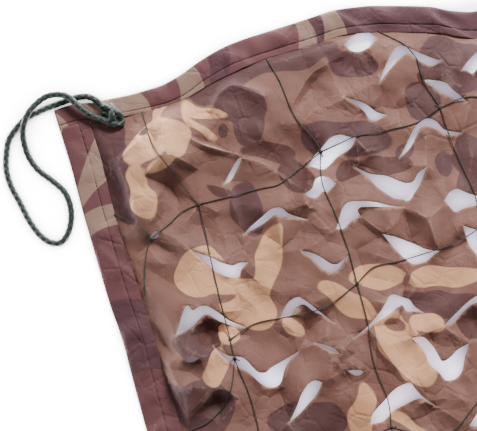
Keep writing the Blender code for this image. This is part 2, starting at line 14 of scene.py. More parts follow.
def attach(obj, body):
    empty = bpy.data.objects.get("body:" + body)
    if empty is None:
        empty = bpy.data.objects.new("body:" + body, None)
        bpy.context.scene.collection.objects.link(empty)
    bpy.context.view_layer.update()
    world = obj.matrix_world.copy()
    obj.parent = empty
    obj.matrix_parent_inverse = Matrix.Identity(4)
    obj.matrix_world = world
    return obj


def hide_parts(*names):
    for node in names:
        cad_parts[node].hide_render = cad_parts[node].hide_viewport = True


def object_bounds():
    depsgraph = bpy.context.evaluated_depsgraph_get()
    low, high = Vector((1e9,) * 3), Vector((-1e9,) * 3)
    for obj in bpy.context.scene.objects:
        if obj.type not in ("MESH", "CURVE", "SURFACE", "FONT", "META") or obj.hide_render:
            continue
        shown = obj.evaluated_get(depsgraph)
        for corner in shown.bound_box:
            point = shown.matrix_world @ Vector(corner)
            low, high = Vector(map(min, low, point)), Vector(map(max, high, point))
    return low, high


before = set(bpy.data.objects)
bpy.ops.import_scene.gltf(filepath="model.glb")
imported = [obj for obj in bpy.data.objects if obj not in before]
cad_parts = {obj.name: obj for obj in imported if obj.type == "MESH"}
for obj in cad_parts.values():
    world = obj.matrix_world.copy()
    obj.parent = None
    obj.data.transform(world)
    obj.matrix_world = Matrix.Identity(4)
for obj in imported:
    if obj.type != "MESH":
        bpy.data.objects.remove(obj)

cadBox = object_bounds()

# Lengths below are millimetres unless a note says metres, measured across and up from the tied corner.
mm = 0.001
corner = np.array([-246.0, 205.5, 0.0])  # the tied corner in the part's frame


def toPart(points):  # from the net's millimetres to the part's metres
    flat = np.array(points, float).reshape(-1, np.shape(points)[-1])
    if flat.shape[1] == 2:
        flat = np.column_stack([flat, np.zeros(len(flat))])
    return (flat + corner) * mm


def addItem(name, data):  # an object in the scene for a mesh, a lamp or the camera
    item = bpy.data.objects.new(name, data)
    bpy.context.scene.collection.objects.link(item)
    return item


def newPiece(name, points, faces, material, slot):  # a smooth mesh that rides on the part
    mesh = bpy.data.meshes.new(name)
    mesh.from_pydata(toPart(points).tolist(), [], [list(map(int, face)) for face in faces])
    mesh.validate()
    piece = addItem(name, mesh)
    mesh.materials.append(material)
    mesh.polygons.foreach_set("use_smooth", [True] * len(mesh.polygons))
    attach(piece, "root")
    return piece


def addReading(piece, name, values):  # one number a vertex, for the print and the wear
    layer = piece.data.attributes.new(name, "FLOAT", "POINT")
    layer.data.foreach_set("value", np.asarray(values, np.float32))


def unit(vectors):  # each at length 1
    return vectors / np.linalg.norm(vectors, axis=1)[:, None]


def runAlong(line):  # how far along the line each of its points is
    return np.concatenate([[0], np.cumsum(np.linalg.norm(np.diff(line, axis=0), axis=1))])


def evenly(line, spacing):  # the line with even steps between its points
    line = np.asarray(line, float)
    run = runAlong(line)
    count = max(2, int(round(run[-1] / spacing)) + 1)
    places = np.linspace(0, run[-1], count)
    return np.column_stack([np.interp(places, run, line[:, axis]) for axis in range(line.shape[1])])


def smoothLine(points, spacing, steps=8):  # smooth curve through the points, without loops at uneven ones
    places = [np.array(point, float) for point in points]
    if len(places) < 3:
        return evenly(places, spacing)
    padded = [2 * places[0] - places[1], *places, 2 * places[-1] - places[-2]]
    line = []
    for a, b, c, d in zip(padded, padded[1:], padded[2:], padded[3:]):
        s1 = math.sqrt(np.linalg.norm(b - a))
        s2 = s1 + math.sqrt(np.linalg.norm(c - b))
        s3 = s2 + math.sqrt(np.linalg.norm(d - c))
        for step in range(steps):
            s = s1 + (s2 - s1) * step / steps
            ab = ((s1 - s) * a + s * b) / s1
            bc = ((s2 - s) * b + (s - s1) * c) / (s2 - s1)
            cd = ((s3 - s) * c + (s - s2) * d) / (s3 - s2)
            abc = ((s2 - s) * ab + s * bc) / s2
            bcd = ((s3 - s) * bc + (s - s1) * cd) / (s3 - s1)
            line.append(((s2 - s) * abc + (s - s1) * bcd) / (s2 - s1))
    return evenly([*line, places[-1]], spacing)


def pushedOut(loop, distance):  # the loop with its points moved outward
    after = np.roll(loop, -1, axis=0)
    way = unit(after - np.roll(loop, 1, axis=0))
    turn = np.sign((loop[:, 0] * after[:, 1] - after[:, 0] * loop[:, 1]).sum())
    return loop + turn * distance * np.column_stack([way[:, 1], -way[:, 0]])


def insideLoop(points, loop):  # whether each point lies inside the loop
    hits = np.zeros(len(points), bool)
    low, high = loop.min(0), loop.max(0)
    near = np.where(((points > low) & (points < high)).all(1))[0]
    x, y = points[near, 0], points[near, 1]
    odd = np.zeros(len(near), bool)
    for (ax, ay), (bx, by) in zip(loop, np.roll(loop, -1, axis=0)):
        if ay != by:
            odd ^= ((ay > y) != (by > y)) & (x < ax + (y - ay) * (bx - ax) / (by - ay))
    hits[near] = odd
    return hits


def ripple(points, seed, length, count=7, spread=(0.6, 1.6)):  # smooth uneven field from -1 to 1 or so
    chance = np.random.default_rng(seed)
    total = np.zeros(len(points))
    for _ in range(count):
        angle = chance.uniform(0, 2 * math.pi)
        wave = 2 * math.pi / (length * chance.uniform(*spread))
        along = points[:, 0] * math.cos(angle) + points[:, 1] * math.sin(angle)
        total += np.sin(along * wave + chance.uniform(0, 2 * math.pi))
    return total / math.sqrt(count)


photoEdge = {"down": 275, "across": 318, "slant": 0.296}  # the photo's lower and right edges on the net


def isShown(places, margin=0.0):  # the part of the net that the photo shows
    across, up = places[..., 0], places[..., 1]
    return ((-up < photoEdge["down"] + margin + photoEdge["slant"] * across)
            & (across < photoEdge["across"] + margin + photoEdge["slant"] * up))


def ringFaces(rows, count, closed=False, flip=False):  # quads between rings of count points, and the two ends
    faces = []
    for row in range(rows if closed else rows - 1):
        here, there = row * count, (row + 1) % rows * count
        for turn in range(count):
            after = (turn + 1) % count
            faces.append((here + turn, here + after, there + after, there + turn))
    if not closed:
        last = (rows - 1) * count
        faces += [tuple(range(count))[::-1], tuple(range(last, last + count))]
    return [face[::-1] for face in faces] if flip else faces


def tubeAlong(line, radii, sides, closed=False):  # points and faces of a tube, with even turning
    line = np.asarray(line, float)
    ways = unit(np.roll(line, -1, axis=0) - np.roll(line, 1, axis=0) if closed else np.gradient(line, axis=0))
    radii = np.broadcast_to(radii, (len(line), sides))
    side = np.cross(ways[0], (0, 0, 1.0))
    if np.linalg.norm(side) < 1e-3:  # the line starts straight up
        side = np.array([1.0, 0, 0])
    points = []
    for place, way, reaches in zip(line, ways, radii):
        side = side - way * (side @ way)
        side /= np.linalg.norm(side)
        rise = np.cross(side, way)
        for turn, radius in enumerate(reaches):
            angle = 2 * math.pi * turn / sides
            points.append(place + radius * (math.cos(angle) * side + math.sin(angle) * rise))
    return points, ringFaces(len(line), sides, closed)


def joinParts(parts):  # points and faces of several parts as one
    points, faces = [], []
    for somePoints, someFaces in parts:
        base = len(points)
        points += list(somePoints)
        faces += [tuple(base + number for number in face) for face in someFaces]
    return points, faces


# Camera: almost straight above, rolled with the net as in the photo
view = {
    "middle": (111.2, -117.1), "across": 357.75,  # middle and width of the picture on the net
    "distance": 1.1, "elevation": 87, "roll": -16.5, "sensor": 36,  # distance in metres
}
roll, tilt = math.radians(view["roll"]), math.radians(90 - view["elevation"])
middle = Vector(toPart([view["middle"]])[0])
behind = Vector((math.sin(roll) * math.sin(tilt), -math.cos(roll) * math.sin(tilt), math.cos(tilt)))
cameraData = bpy.data.cameras.new("photo_view")
cameraData.sensor_width = view["sensor"]
cameraData.lens = view["sensor"] * view["distance"] / (view["across"] * mm)
camera = addItem("photo_view", cameraData)
camera.location = middle + behind * view["distance"]
camera.rotation_euler = (tilt, 0, roll)
bpy.context.scene.camera = camera


# Materials
class Finish:  # short way to lay out a node tree
    def __init__(self, name, roughness, sheen=0.0, gloss=0.5):
        self.material = bpy.data.materials.new(name)
        self.material.use_nodes = True
        self.tree = self.material.node_tree
        self.shader = self.tree.nodes["Principled BSDF"]
        self.feed(self.shader, {"Roughness": roughness, "Sheen Weight": sheen, "Specular IOR Level": gloss})

    def feed(self, node, values):  # socket: a number, a colour, or what another node gives
        for key, value in values.items():
            socket = node.inputs[key]
            if isinstance(value, bpy.types.NodeSocket):
                self.tree.links.new(value, socket)
            else:
                socket.default_value = (*value, 1) if socket.type == "RGBA" else value

    def add(self, kind, values, **settings):
        node = self.tree.nodes.new(kind)
        for key, value in settings.items():
            setattr(node, key, value)
        self.feed(node, values)
        return node

    def place(self):  # on the object, in metres
        return self.add("ShaderNodeTexCoord", {}).outputs["Object"]

    def reading(self, name):
        return self.add("ShaderNodeAttribute", {}, attribute_name=name).outputs["Fac"]

    def maths(self, operation, first, second):
        return self.add("ShaderNodeMath", {0: first, 1: second}, operation=operation).outputs["Value"]

    def ramp(self, source, low, high, start=0.0, end=1.0):
        values = {"Value": source, "From Min": low, "From Max": high, "To Min": start, "To Max": end}
        return self.add("ShaderNodeMapRange", values).outputs["Result"]

    def blend(self, share, first, second, way="MIX"):  # the node's colours are sockets 6 and 7, output 2
        values = {0: share, 6: first, 7: second}
        return self.add("ShaderNodeMix", values, data_type="RGBA", blend_type=way).outputs[2]

    def mottle(self, scale, detail, roughness=0.55):
        values = {"Vector": self.place(), "Scale": scale, "Detail": detail, "Roughness": roughness}
        return self.add("ShaderNodeTexNoise", values).outputs["Fac"]

    def weave(self, pitch, turn):  # two crossed rows of threads, pitch in mm
        values = {"Vector": self.place(), "Rotation": (0, 0, math.radians(turn))}
        turned = self.add("ShaderNodeMapping", values).outputs["Vector"]
        values = {"Vector": turned, "Scale": math.pi / 20 / (pitch * mm), "Distortion": 0.4}
        rows = [self.add("ShaderNodeTexWave", values, bands_direction=way) for way in ("X", "Y")]
        return self.maths("MULTIPLY", *(row.outputs["Fac"] for row in rows))

    def crinkle(self, scale, width):  # straight fine creases that meet in a net, in patches
        values = {"Vector": self.place(), "Scale": scale}
        cells = self.add("ShaderNodeTexVoronoi", values, feature="DISTANCE_TO_EDGE")
        crease = self.ramp(cells.outputs["Distance"], 0.0, width)
        calm = self.ramp(self.mottle(scale / 3, 1.0), 0.42, 0.58)  # 1 where there are no creases
        return self.maths("MAXIMUM", crease, calm)

    def bump(self, *reliefs):  # rows of (height source, distance in mm, strength)
        below = {}
        for source, distance, strength in reliefs:
            values = {"Height": source, "Distance": distance * mm, "Strength": strength, **below}
            below = {"Normal": self.add("ShaderNodeBump", values).outputs["Normal"]}
        self.feed(self.shader, below)

    def colour(self, source):
        self.feed(self.shader, {"Base Color": source})


# Studio: a white table that glows as painted light, one broad lamp from the upper right of the picture and a
# weak one across from it
studio = {  # lengths in metres
    "floor": (0.93, 0.93, 0.945), "floorSize": 6.0, "floorRoughness": 0.7,
    "glow": 17.0, "shadePower": 2.4, "shadeReach": 0.05, "shadeSamples": 8,  # painted glow of the table around the net, dimmed near the net as painted shade
    "underGlow": 5.3, "underPower": 1.7, "gapShadeTint": (0.80, 0.77, 1.0),  # the table seen through its gaps: a weaker glow, tinted bluish as painted shade
    "netInset": ((0.062, 0.018), (0.03, 0.018)), "underEdge": (-0.008, 0.008),  # from the CAD box's sides
    "sky": (0.97, 0.98, 1.0), "skyStrength": 0.22,
    "lamps": [  # name, to the right, up in the picture, height, size, watts, colour
        ("key_lamp", 0.45, 1.25, 1.0, 0.6, 53, (1.0, 0.985, 0.96)),
        ("fill_lamp", -1.2, 0.1, 0.9, 1.0, 4, (0.95, 0.97, 1.0)),
    ],
}


def makeLights():
    rightWay = Vector((math.cos(roll), math.sin(roll), 0))
    upWay = Vector((-math.sin(roll), math.cos(roll), 0))
    for name, right, up, height, size, watts, colour in studio["lamps"]:
        data = bpy.data.lights.new(name, "AREA")
        data.shape, data.size, data.energy, data.color = "DISK", size, watts, colour
        lamp = addItem(name, data)
        lamp.location = middle + rightWay * right + upWay * up + Vector((0, 0, height))
        lamp.rotation_euler = (middle - lamp.location).to_track_quat("-Z", "Y").to_euler()
    world = bpy.data.worlds.new("soft_white")
    world.use_nodes = True
    sky = world.node_tree.nodes["Background"]
    sky.inputs["Color"].default_value = (*studio["sky"], 1)
    sky.inputs["Strength"].default_value = studio["skyStrength"]
    bpy.context.scene.world = world


def underNet(finish):  # 1 in the gaps of the net, where the table glows less, and 0 around it
    place = finish.add("ShaderNodeSeparateXYZ", {"Vector": finish.place()})
    under = None
    for axis, (lowInset, highInset) in enumerate(studio["netInset"]):
        for side, way in ((cadBox[0][axis] + lowInset, 1), (cadBox[1][axis] - highInset, -1)):
            edge = sorted(side + way * shift for shift in studio["underEdge"])
            ends = (0.0, 1.0) if way > 0 else (1.0, 0.0)
            inside = finish.ramp(place.outputs[axis], *edge, *ends)
            under = finish.maths("MULTIPLY", under, inside) if under else inside
    return under


def makeTable():  # painted light: it glows to stay white, and less, as painted shade, in the net's shade and in its gaps
    half = studio["floorSize"] / 2
    mesh = bpy.data.meshes.new("white_table")
    corners = [(across * half, up * half, 0) for across, up in ((-1, -1), (1, -1), (1, 1), (-1, 1))]
    mesh.from_pydata(corners, [], [(0, 1, 2, 3)])
    finish = Finish("white_table", studio["floorRoughness"])
    finish.colour(studio["floor"])
    near = {"Distance": studio["shadeReach"]}
    shade = finish.add("ShaderNodeAmbientOcclusion", near, samples=studio["shadeSamples"]).outputs["AO"]
    around, within = (finish.maths("MULTIPLY", finish.maths("POWER", shade, studio[power]), studio[glow])
                      for power, glow in (("shadePower", "glow"), ("underPower", "underGlow")))
    under = underNet(finish)
    glow = finish.add("ShaderNodeMix", {0: under, 2: around, 3: within}, data_type="FLOAT").outputs[0]
    tint = finish.blend(under, (1.0, 1.0, 1.0), studio["gapShadeTint"])
    finish.feed(finish.shader, {"Emission Color": tint, "Emission Strength": glow})
    mesh.materials.append(finish.material)
    addItem("white_table", mesh)


# Desert print: the colours, then the patches of the cloth as soft-edged ovals over the brown ground; a
# painted highlight and a painted crease shade are kept with the colours, and some dark patches are painted
# shade in fold hollows
printAndPaintedLight = {
    "brown": (0.190, 0.095, 0.077), "sand": (0.600, 0.325, 0.185), "mauve": (0.088, 0.043, 0.045),
    # the pale colour next is a painted highlight for ridges and cut edges, the near-black one a painted shade
    # for creases
    "dark": (0.080, 0.033, 0.031), "ridgeHighlight": (0.62, 0.42, 0.31), "creaseShade": (0.030, 0.011, 0.009),
    "order": ("mauve", "dark", "sand", "brown"),  # from the lowest to the top one
    "wobble": 1.6, "wobbleLength": 30, "wobbleSeeds": (21, 22), "squareness": 2.3,  # of the patches' outlines
    "farthest": (-40, 40),  # how far outside and inside a patch is told apart, in mm
}
patches = [  # dye, across, up, half length, half width, turn; some dark patches are painted shade in the hollows of folds
    ("sand", 63, -47, 23, 11, 26), ("sand", 83, -50, 10, 14, -16), ("sand", 101, -46, 16, 3, -60),
    ("sand", 109, -36, 18, 4, -30), ("sand", 79, -15, 5, 3, -46), ("sand", 78, -23, 10, 4, 58),
    ("sand", 47, -83, 21, 10, -88), ("sand", 67, -64, 10, 4, 22), ("sand", 72, -150, 19, 19, -16),
    ("sand", 98, -181, 24, 16, -52), ("sand", 121, -158, 28, 10, 66), ("sand", 133, -143, 12, 5, 58),
    ("sand", 126, -209, 10, 5, -52), ("sand", 170, -201, 25, 8, -44), ("sand", 197, -190, 20, 9, -16),
    ("sand", 247, -205, 30, 7, -14), ("sand", 201, -248, 32, 15, -68), ("sand", 223, -233, 13, 7, -28),
    ("sand", 158, -282, 21, 9, 68), ("sand", 187, -299, 18, 4, -48), ("sand", 64, -221, 15, 9, 62),
    ("sand", 78, -200, 8, 7, -16), ("brown", 80, -172, 13, 3, -2), ("brown", 62, -80, 10, 5, -52),
    ("brown", 218, -199, 3, 10, -24), ("brown", 200, -228, 7, 4, -26), ("mauve", 33, -43, 26, 14, 84),
    ("mauve", 32, -78, 22, 9, -86), ("mauve", 136, -39, 19, 14, -28), ("mauve", 138, -57, 12, 11, 44),
    ("mauve", 109, -24, 16, 5, -30), ("mauve", 189, -17, 30, 8, 0), ("mauve", 135, -18, 32, 7, 6),
    ("mauve", 204, -85, 33, 14, -18), ("mauve", 267, -74, 14, 13, -16), ("mauve", 297, -55, 27, 20, -36),
    ("mauve", 225, -33, 19, 10, -16), ("mauve", 119, -114, 12, 20, -6), ("mauve", 244, -107, 9, 7, -16),
    ("mauve", 237, -223, 32, 10, -20), ("mauve", 118, -278, 30, 14, -16), ("mauve", 58, -199, 20, 16, 4),
    ("mauve", 47, -247, 22, 20, -16), ("mauve", 24, -237, 20, 9, 58), ("mauve", 283, -142, 9, 10, -16),
    ("dark", 229, -113, 20, 7, -18), ("mauve", 269, -123, 6, 10, -16), ("dark", 103, -95, 10, 4, -24),
    ("dark", 146, -78, 20, 7, -26), ("dark", 162, -103, 16, 10, -46), ("dark", 259, -241, 14, 15, 4),
    ("dark", 67, -195, 10, 9, -56), ("dark", 43, -241, 11, 8, 14), ("dark", 198, -109, 11, 7, 8),
    ("mauve", 116, -55, 4, 6, -32), ("dark", 277, -59, 10, 6, -26), ("mauve", 288, -120, 10, 16, -28),
    ("mauve", 245, -228, 22, 10, -22), ("brown", 33, -212, 16, 8, -68),
]
morePatches = {
    "seed": 5, "pitch": 46, "shift": 17, "across": (20, 480), "up": (-20, -420),
    "long": (14, 30), "wide": (8, 15), "turns": (-70, 60), "room": 1.1,
    "palette": ("sand", "mauve", "sand", "dark", "mauve"),
}


def allPatches():  # the hidden part repeats the same kind of patches at random
    chance = np.random.default_rng(morePatches["seed"])
    rows = list(patches)
    pitch = morePatches["pitch"]
    for up in np.arange(*morePatches["up"], -pitch):
        for across in np.arange(*morePatches["across"], pitch):
            spot = np.array([across, up]) + chance.uniform(-1, 1, 2) * morePatches["shift"]
            sizes = chance.uniform(*morePatches["long"]), chance.uniform(*morePatches["wide"])
            turn = chance.uniform(*morePatches["turns"])
            dye = morePatches["palette"][chance.integers(len(morePatches["palette"]))]
            if not isShown(spot, sizes[0] * morePatches["room"]):
                rows.append((dye, *spot, *sizes, turn))
    return rows


def patchDepth(points, dye, rows):  # how deep in a dye's patches each point is, in mm, below 0 outside
    wobbles = [ripple(points, seed, printAndPaintedLight["wobbleLength"]) for seed in printAndPaintedLight["wobbleSeeds"]]
    places = points[:, :2] + np.column_stack(wobbles) * printAndPaintedLight["wobble"]
    power = printAndPaintedLight["squareness"]
    total = np.zeros(len(points))
    for _, across, up, long, wide, turn in [row for row in rows if row[0] == dye]:
        angle = math.radians(turn)
        x = (places[:, 0] - across) * math.cos(angle) + (places[:, 1] - up) * math.sin(angle)
        y = -(places[:, 0] - across) * math.sin(angle) + (places[:, 1] - up) * math.cos(angle)
        reach = (np.abs(x / long) ** power + np.abs(y / wide) ** power) ** (1 / power)
        total += np.exp(np.clip((1 - reach) * min(long, wide), *printAndPaintedLight["farthest"]))  # merge softly
    return np.log(np.maximum(total, 1e-9))


def patchReadings(piece, points):  # what the print and its painted shade patches need to know at each point
    rows = allPatches()
    for dye in printAndPaintedLight["order"]:
        addReading(piece, dye, patchDepth(points, dye, rows))


clothFinish = {
    "roughness": 0.66, "sheen": 0.03, "gloss": 0.22, "edgeWidth": 0.35,
    "mottles": [  # scale, detail, the noise's range and the shade at its ends
        (38, 3.0, 0.3, 0.7, 0.93, 1.06), (900, 2.0, 0.35, 0.65, 0.96, 1.04),
    ],
    "ridgeHighlight": (0.15, 1.2, 0.0, 0.5), "creaseShade": (-0.8, -0.15, 0.4, 0.0),  # range of the bend, and shares of the painted highlight on ridges and of the painted shade in creases
    "reliefs": [  # kind and its two values, depth in mm, strength
        ("crinkle", 52, 0.09, 0.5, 0.7), ("crinkle", 105, 0.10, 0.3, 0.5),
        ("mottle", 160, 2.0, 0.5, 0.25), ("weave", 0.9, 4, 0.12, 0.3),
    ],
    "softLight": {  # light within the thin cloth
        "Subsurface Weight": 0.12, "Subsurface Radius": (1.0, 0.6, 0.45), "Subsurface Scale": 0.002,
    },
}


def printedCloth(name, palette, thin):  # thin cloth also gets a painted highlight on ridges, painted shade in creases, and light within
    finish = Finish(name, clothFinish["roughness"], clothFinish["sheen"], clothFinish["gloss"])
    edge = clothFinish["edgeWidth"]
    surface = palette["brown"]
    for dye in printAndPaintedLight["order"]:
        surface = finish.blend(finish.ramp(finish.reading(dye), -edge, edge), surface, palette[dye])
    for scale, detail, *shades in clothFinish["mottles"]:
        shade = finish.ramp(finish.mottle(scale, detail), *shades)
        surface = finish.blend(1.0, surface, shade, "MULTIPLY")
    if thin:  # painted highlight on the ridges and painted shade in the creases
        bend = finish.reading("bend")
        for look in ("ridgeHighlight", "creaseShade"):
            surface = finish.blend(finish.ramp(bend, *clothFinish[look]), surface, palette[look])
        finish.feed(finish.shader, clothFinish["softLight"])
    finish.colour(surface)
    finish.bump(*((getattr(finish, kind)(first, second), depth, strength)
                  for kind, first, second, depth, strength in clothFinish["reliefs"]))
    return finish.material


# Leaf-cut cloth
leafCloth = {
    # mesh: distances between its points, and shares of the first of them
    "spacing": 1.9, "hiddenSpacing": 3.2, "rimSpacing": 1.5, "borderSpacing": 2.4,
    "foldStep": 0.95, "room": (0.5, 0.7, 0.7, 0.76), "unevenness": 0.22, "seed": 3,
    "topFrom": 0.1, "sameGap": 14,  # least upright face of the solid, how near a gap is the same one
    # the cloth as a whole
    "thickness": 0.35, "tuckedIn": 2.2, "lowest": 0.6, "softening": 14, "lastSoftening": (1, 0.3),
    "settle": 7.0, "underTape": 1.2, "tapeReach": 4, "sharpFrom": 14,
    # facets: size, and the mean, swing, least and most of their uneven crumpling
    "facetSize": 24, "facetShift": 9, "facetRise": 3.2, "uneven": (0.7, 0.5, 0.25, 1.3), "unevenLength": 90,
    "cornerRoom": (1.0, 0.6), "insidePhoto": 8, "foldShare": 1.45,
    # creases, lips of the gaps, and the pull between the gaps' tips
    "creaseShare": 0.7, "creaseEnds": 0.3, "creaseSwell": 0.6, "creaseSlope": 1.35,
    "steepest": 4.0, "besideFold": 1.7, "leaning": 0.5, "lipRise": 2.6, "lipReach": 7,
    "pulls": 2, "pullReach": 48, "pullShift": (-3, 3), "tensionRise": 1.5,
    "pullRise": (0.3, 1.2), "pullWidth": (3.5, 6), "pullLean": (-0.5, 0.5),
    # painted highlight and crease shade: from where they are full, their share at the binding, and that of
    # the cut edges, which get a painted highlight
    "paintedLightFrom": 26, "leastPaintedLight": 0.2, "cutEdge": 0.8, "cutReach": 0.3,
}
gapLips = {  # upper lip from its left tip, lower lip from its right tip
    "pocket": ([(223, -17.5), (230, -13), (237.5, -11), (244, -12.5), (248, -18.5)],
               [(240.5, -24.5), (233.5, -25.5), (227, -23)]),
    "hood": ([(240, -52.5), (247.5, -42), (256, -33), (262, -29.5), (268, -32.5), (273, -37), (281, -43.5)],
             [(289, -49.5), (281.5, -51), (275, -46), (271.5, -42), (267.5, -37), (260.5, -39),
              (251, -44.5)]),
    "fish": ([(211.5, -55), (219, -60), (225, -64.5), (232, -72.5)],
             [(239, -76.5), (233.5, -78), (229, -78), (225.5, -75.5), (223.5, -70), (218.5, -63)]),
    "blade": ([(272.5, -59.5), (277.5, -61), (287, -67), (290, -72.5), (295.5, -79.5)],
              [(299, -84.5), (290, -79.5), (282, -72), (276.5, -64.5)]),
    "shard": ([(301, -61), (309, -55), (317.5, -50.5), (322.5, -47)],
              [(322.5, -58), (313.5, -63), (309.5, -65), (305, -61.5)]),
    "eye": ([(172, -97), (177, -91.5), (184, -87.5), (192.5, -82), (200.5, -81.5), (206, -84.5)],
            [(211.5, -87), (205.5, -93), (195, -96), (187, -100.5), (181.5, -102.5), (177.5, -100.5)]),
    "chip": ([(162.5, -116.5), (169, -114), (174.5, -107.5), (182, -108.5)],
             [(187.5, -115), (179.5, -119.5), (177, -118), (171.5, -121), (166.5, -120)]),
    "wing": ([(110.5, -132), (117.5, -128), (126.5, -124), (136.5, -120), (143, -121.5), (146.5, -126.5)],
             [(159.5, -135), (147.5, -130), (139, -126.5), (137.5, -125), (126, -129)]),
    "sail": ([(204, -106.5), (213.5, -115.5), (225, -121), (231.5, -126.5), (237, -130), (242, -130.5),
              (248.5, -125)],
             [(255.5, -122.5), (248.5, -132), (242, -138), (235.5, -143), (231.5, -140.5),
              (226.5, -138.5), (220.5, -132.5), (215.5, -125.5), (211.5, -117.5)]),
    "boomerang": ([(238, -110.5), (245, -103.5), (251.5, -96), (258, -90.5), (266.5, -88), (272.5, -92),
                   (277, -99.5)],
                  [(289, -105.5), (277.5, -103.5), (271.5, -97.5), (265.5, -93.5), (261, -92.5),
                   (256, -97.5), (248, -105.5)]),
    "flag": ([(177.5, -148), (181.5, -142), (186, -135), (191, -131.5), (199.5, -133), (210, -136.5),
              (220, -142)],
             [(230.5, -146.5), (217.5, -142.5), (204.5, -138.5), (199.5, -137.5), (197, -139),
              (197.5, -143.5), (190, -145.5), (183.5, -149)]),
    "roof": ([(260.5, -150.5), (265.5, -146), (271, -144.5), (280, -151), (288.5, -156)],
             [(293.5, -161), (281, -160.5), (275, -160), (266.5, -160.5), (263.5, -156.5)]),
    "keel": ([(209.5, -161), (219.5, -167), (228.5, -173.5), (237, -181)],
             [(247, -185.5), (240, -187.5), (236.5, -189.5), (231, -190), (225.5, -189), (221.5, -184),
              (217.5, -178)]),
    "slot": ([(269, -172), (274, -176), (280, -180)],
             [(279.5, -205), (273.5, -201.5), (272.5, -195), (270, -188), (269.5, -181.5)]),
    "ribbon": ([(68.5, -130), (73.5, -135), (79, -139), (83, -142), (89, -147.5), (96.5, -152),
                (102, -151.5)],
               [(108, -153), (101.5, -157), (98.5, -161.5), (92, -160), (84, -154), (78, -145)]),
    "smile": ([(148, -155.5), (155.5, -160), (161, -165), (166.5, -171.5), (170.5, -173), (175, -171.5)],
              [(182, -167.5), (172.5, -176), (167.5, -178), (164, -177.5), (159, -172.5), (154.5, -164.5)]),
    "crown": ([(41, -190), (47, -181.5), (52, -174), (56, -170.5), (59, -175.5), (64.5, -174),
               (70.5, -176), (77.5, -184), (82.5, -190.5)],
              [(93.5, -199), (86, -196.5), (80, -192.5), (74, -188), (67.5, -181), (61.5, -183),
               (56.5, -186), (50.5, -188)]),
    "arch": ([(118.5, -199.5), (128, -190), (136, -188), (140.5, -192), (147, -201)],
             [(157, -214.5), (148.5, -205.5), (144, -201.5), (138.5, -194.5), (133, -195), (126, -200)]),
    "hook": ([(65.5, -204.5), (70.5, -211), (75.5, -215.5), (84.5, -219.5), (89.5, -228.5), (92, -232.5),
              (97, -234.5), (101.5, -232.5), (112, -230)],
             [(125.5, -226.5), (116, -232), (111, -237), (106.5, -244.5), (103, -247), (99, -247),
              (94.5, -245), (91, -241), (85, -231), (79.5, -225.5), (72.5, -218)]),
    "leg": ([(103, -275.5), (112, -265.5), (118, -257.5), (125, -251.5), (130.5, -250.5)],
            [(135.5, -253.5), (129, -261), (122, -265.5), (112, -271.5)]),
    "nick": ([(155.5, -250.5), (159.5, -251), (164, -252.5)],
             [(167, -254.5), (163.5, -256.5), (159, -255)]),
    "bolt": ([(167, -229), (179.5, -223.5), (191, -216), (198.5, -209), (202.5, -206), (206, -207),
              (211.5, -211), (215, -213.5), (217, -219)],
             [(222, -225.5), (215, -222.5), (210.5, -221), (209, -216), (204.5, -216.5), (196, -220),
              (186.5, -222.5), (178.5, -226)]),
    "bay": ([(207, -240.5), (216, -242.5), (221, -250), (223, -258), (224.5, -263.5), (231, -262.5),
             (237.5, -259)],
            [(248, -256.5), (242, -265.5), (237, -275), (232.5, -278.5), (228, -279.5), (223.5, -278),
             (220.5, -271.5), (217.5, -267.5), (215, -262.5), (214.5, -255), (212, -248)]),
    "horn": ([(233, -239), (245.5, -232.5), (254.5, -228), (263.5, -225), (271, -225)],
             [(275.5, -231), (264.5, -230), (258, -230.5), (250.5, -234), (242, -239)]),
    "foot": ([(160.5, -293), (164, -286.5), (169, -283), (176.5, -278.5), (184, -273.5), (190.5, -271.5),
              (197, -272), (199.5, -277.5), (203, -284)],
             [(211.5, -295), (205.5, -289), (201.5, -285.5), (189, -287), (179, -289.5), (171, -294)]),
    "low": ([(229.5, -315), (237, -308.5), (245, -302.5), (252, -300)],
            [(258, -306.5), (248.5, -313), (239, -317.5)]),
    "sliver": ([(107, -92), (115, -84), (124, -76.5)],
               [(125.5, -77.5), (120, -84), (112, -91)]),
    "chink": ([(138.5, -223.5), (145, -227.5), (151, -232)],
              [(153.5, -237), (148, -233.5), (142.5, -228.5)]),
}
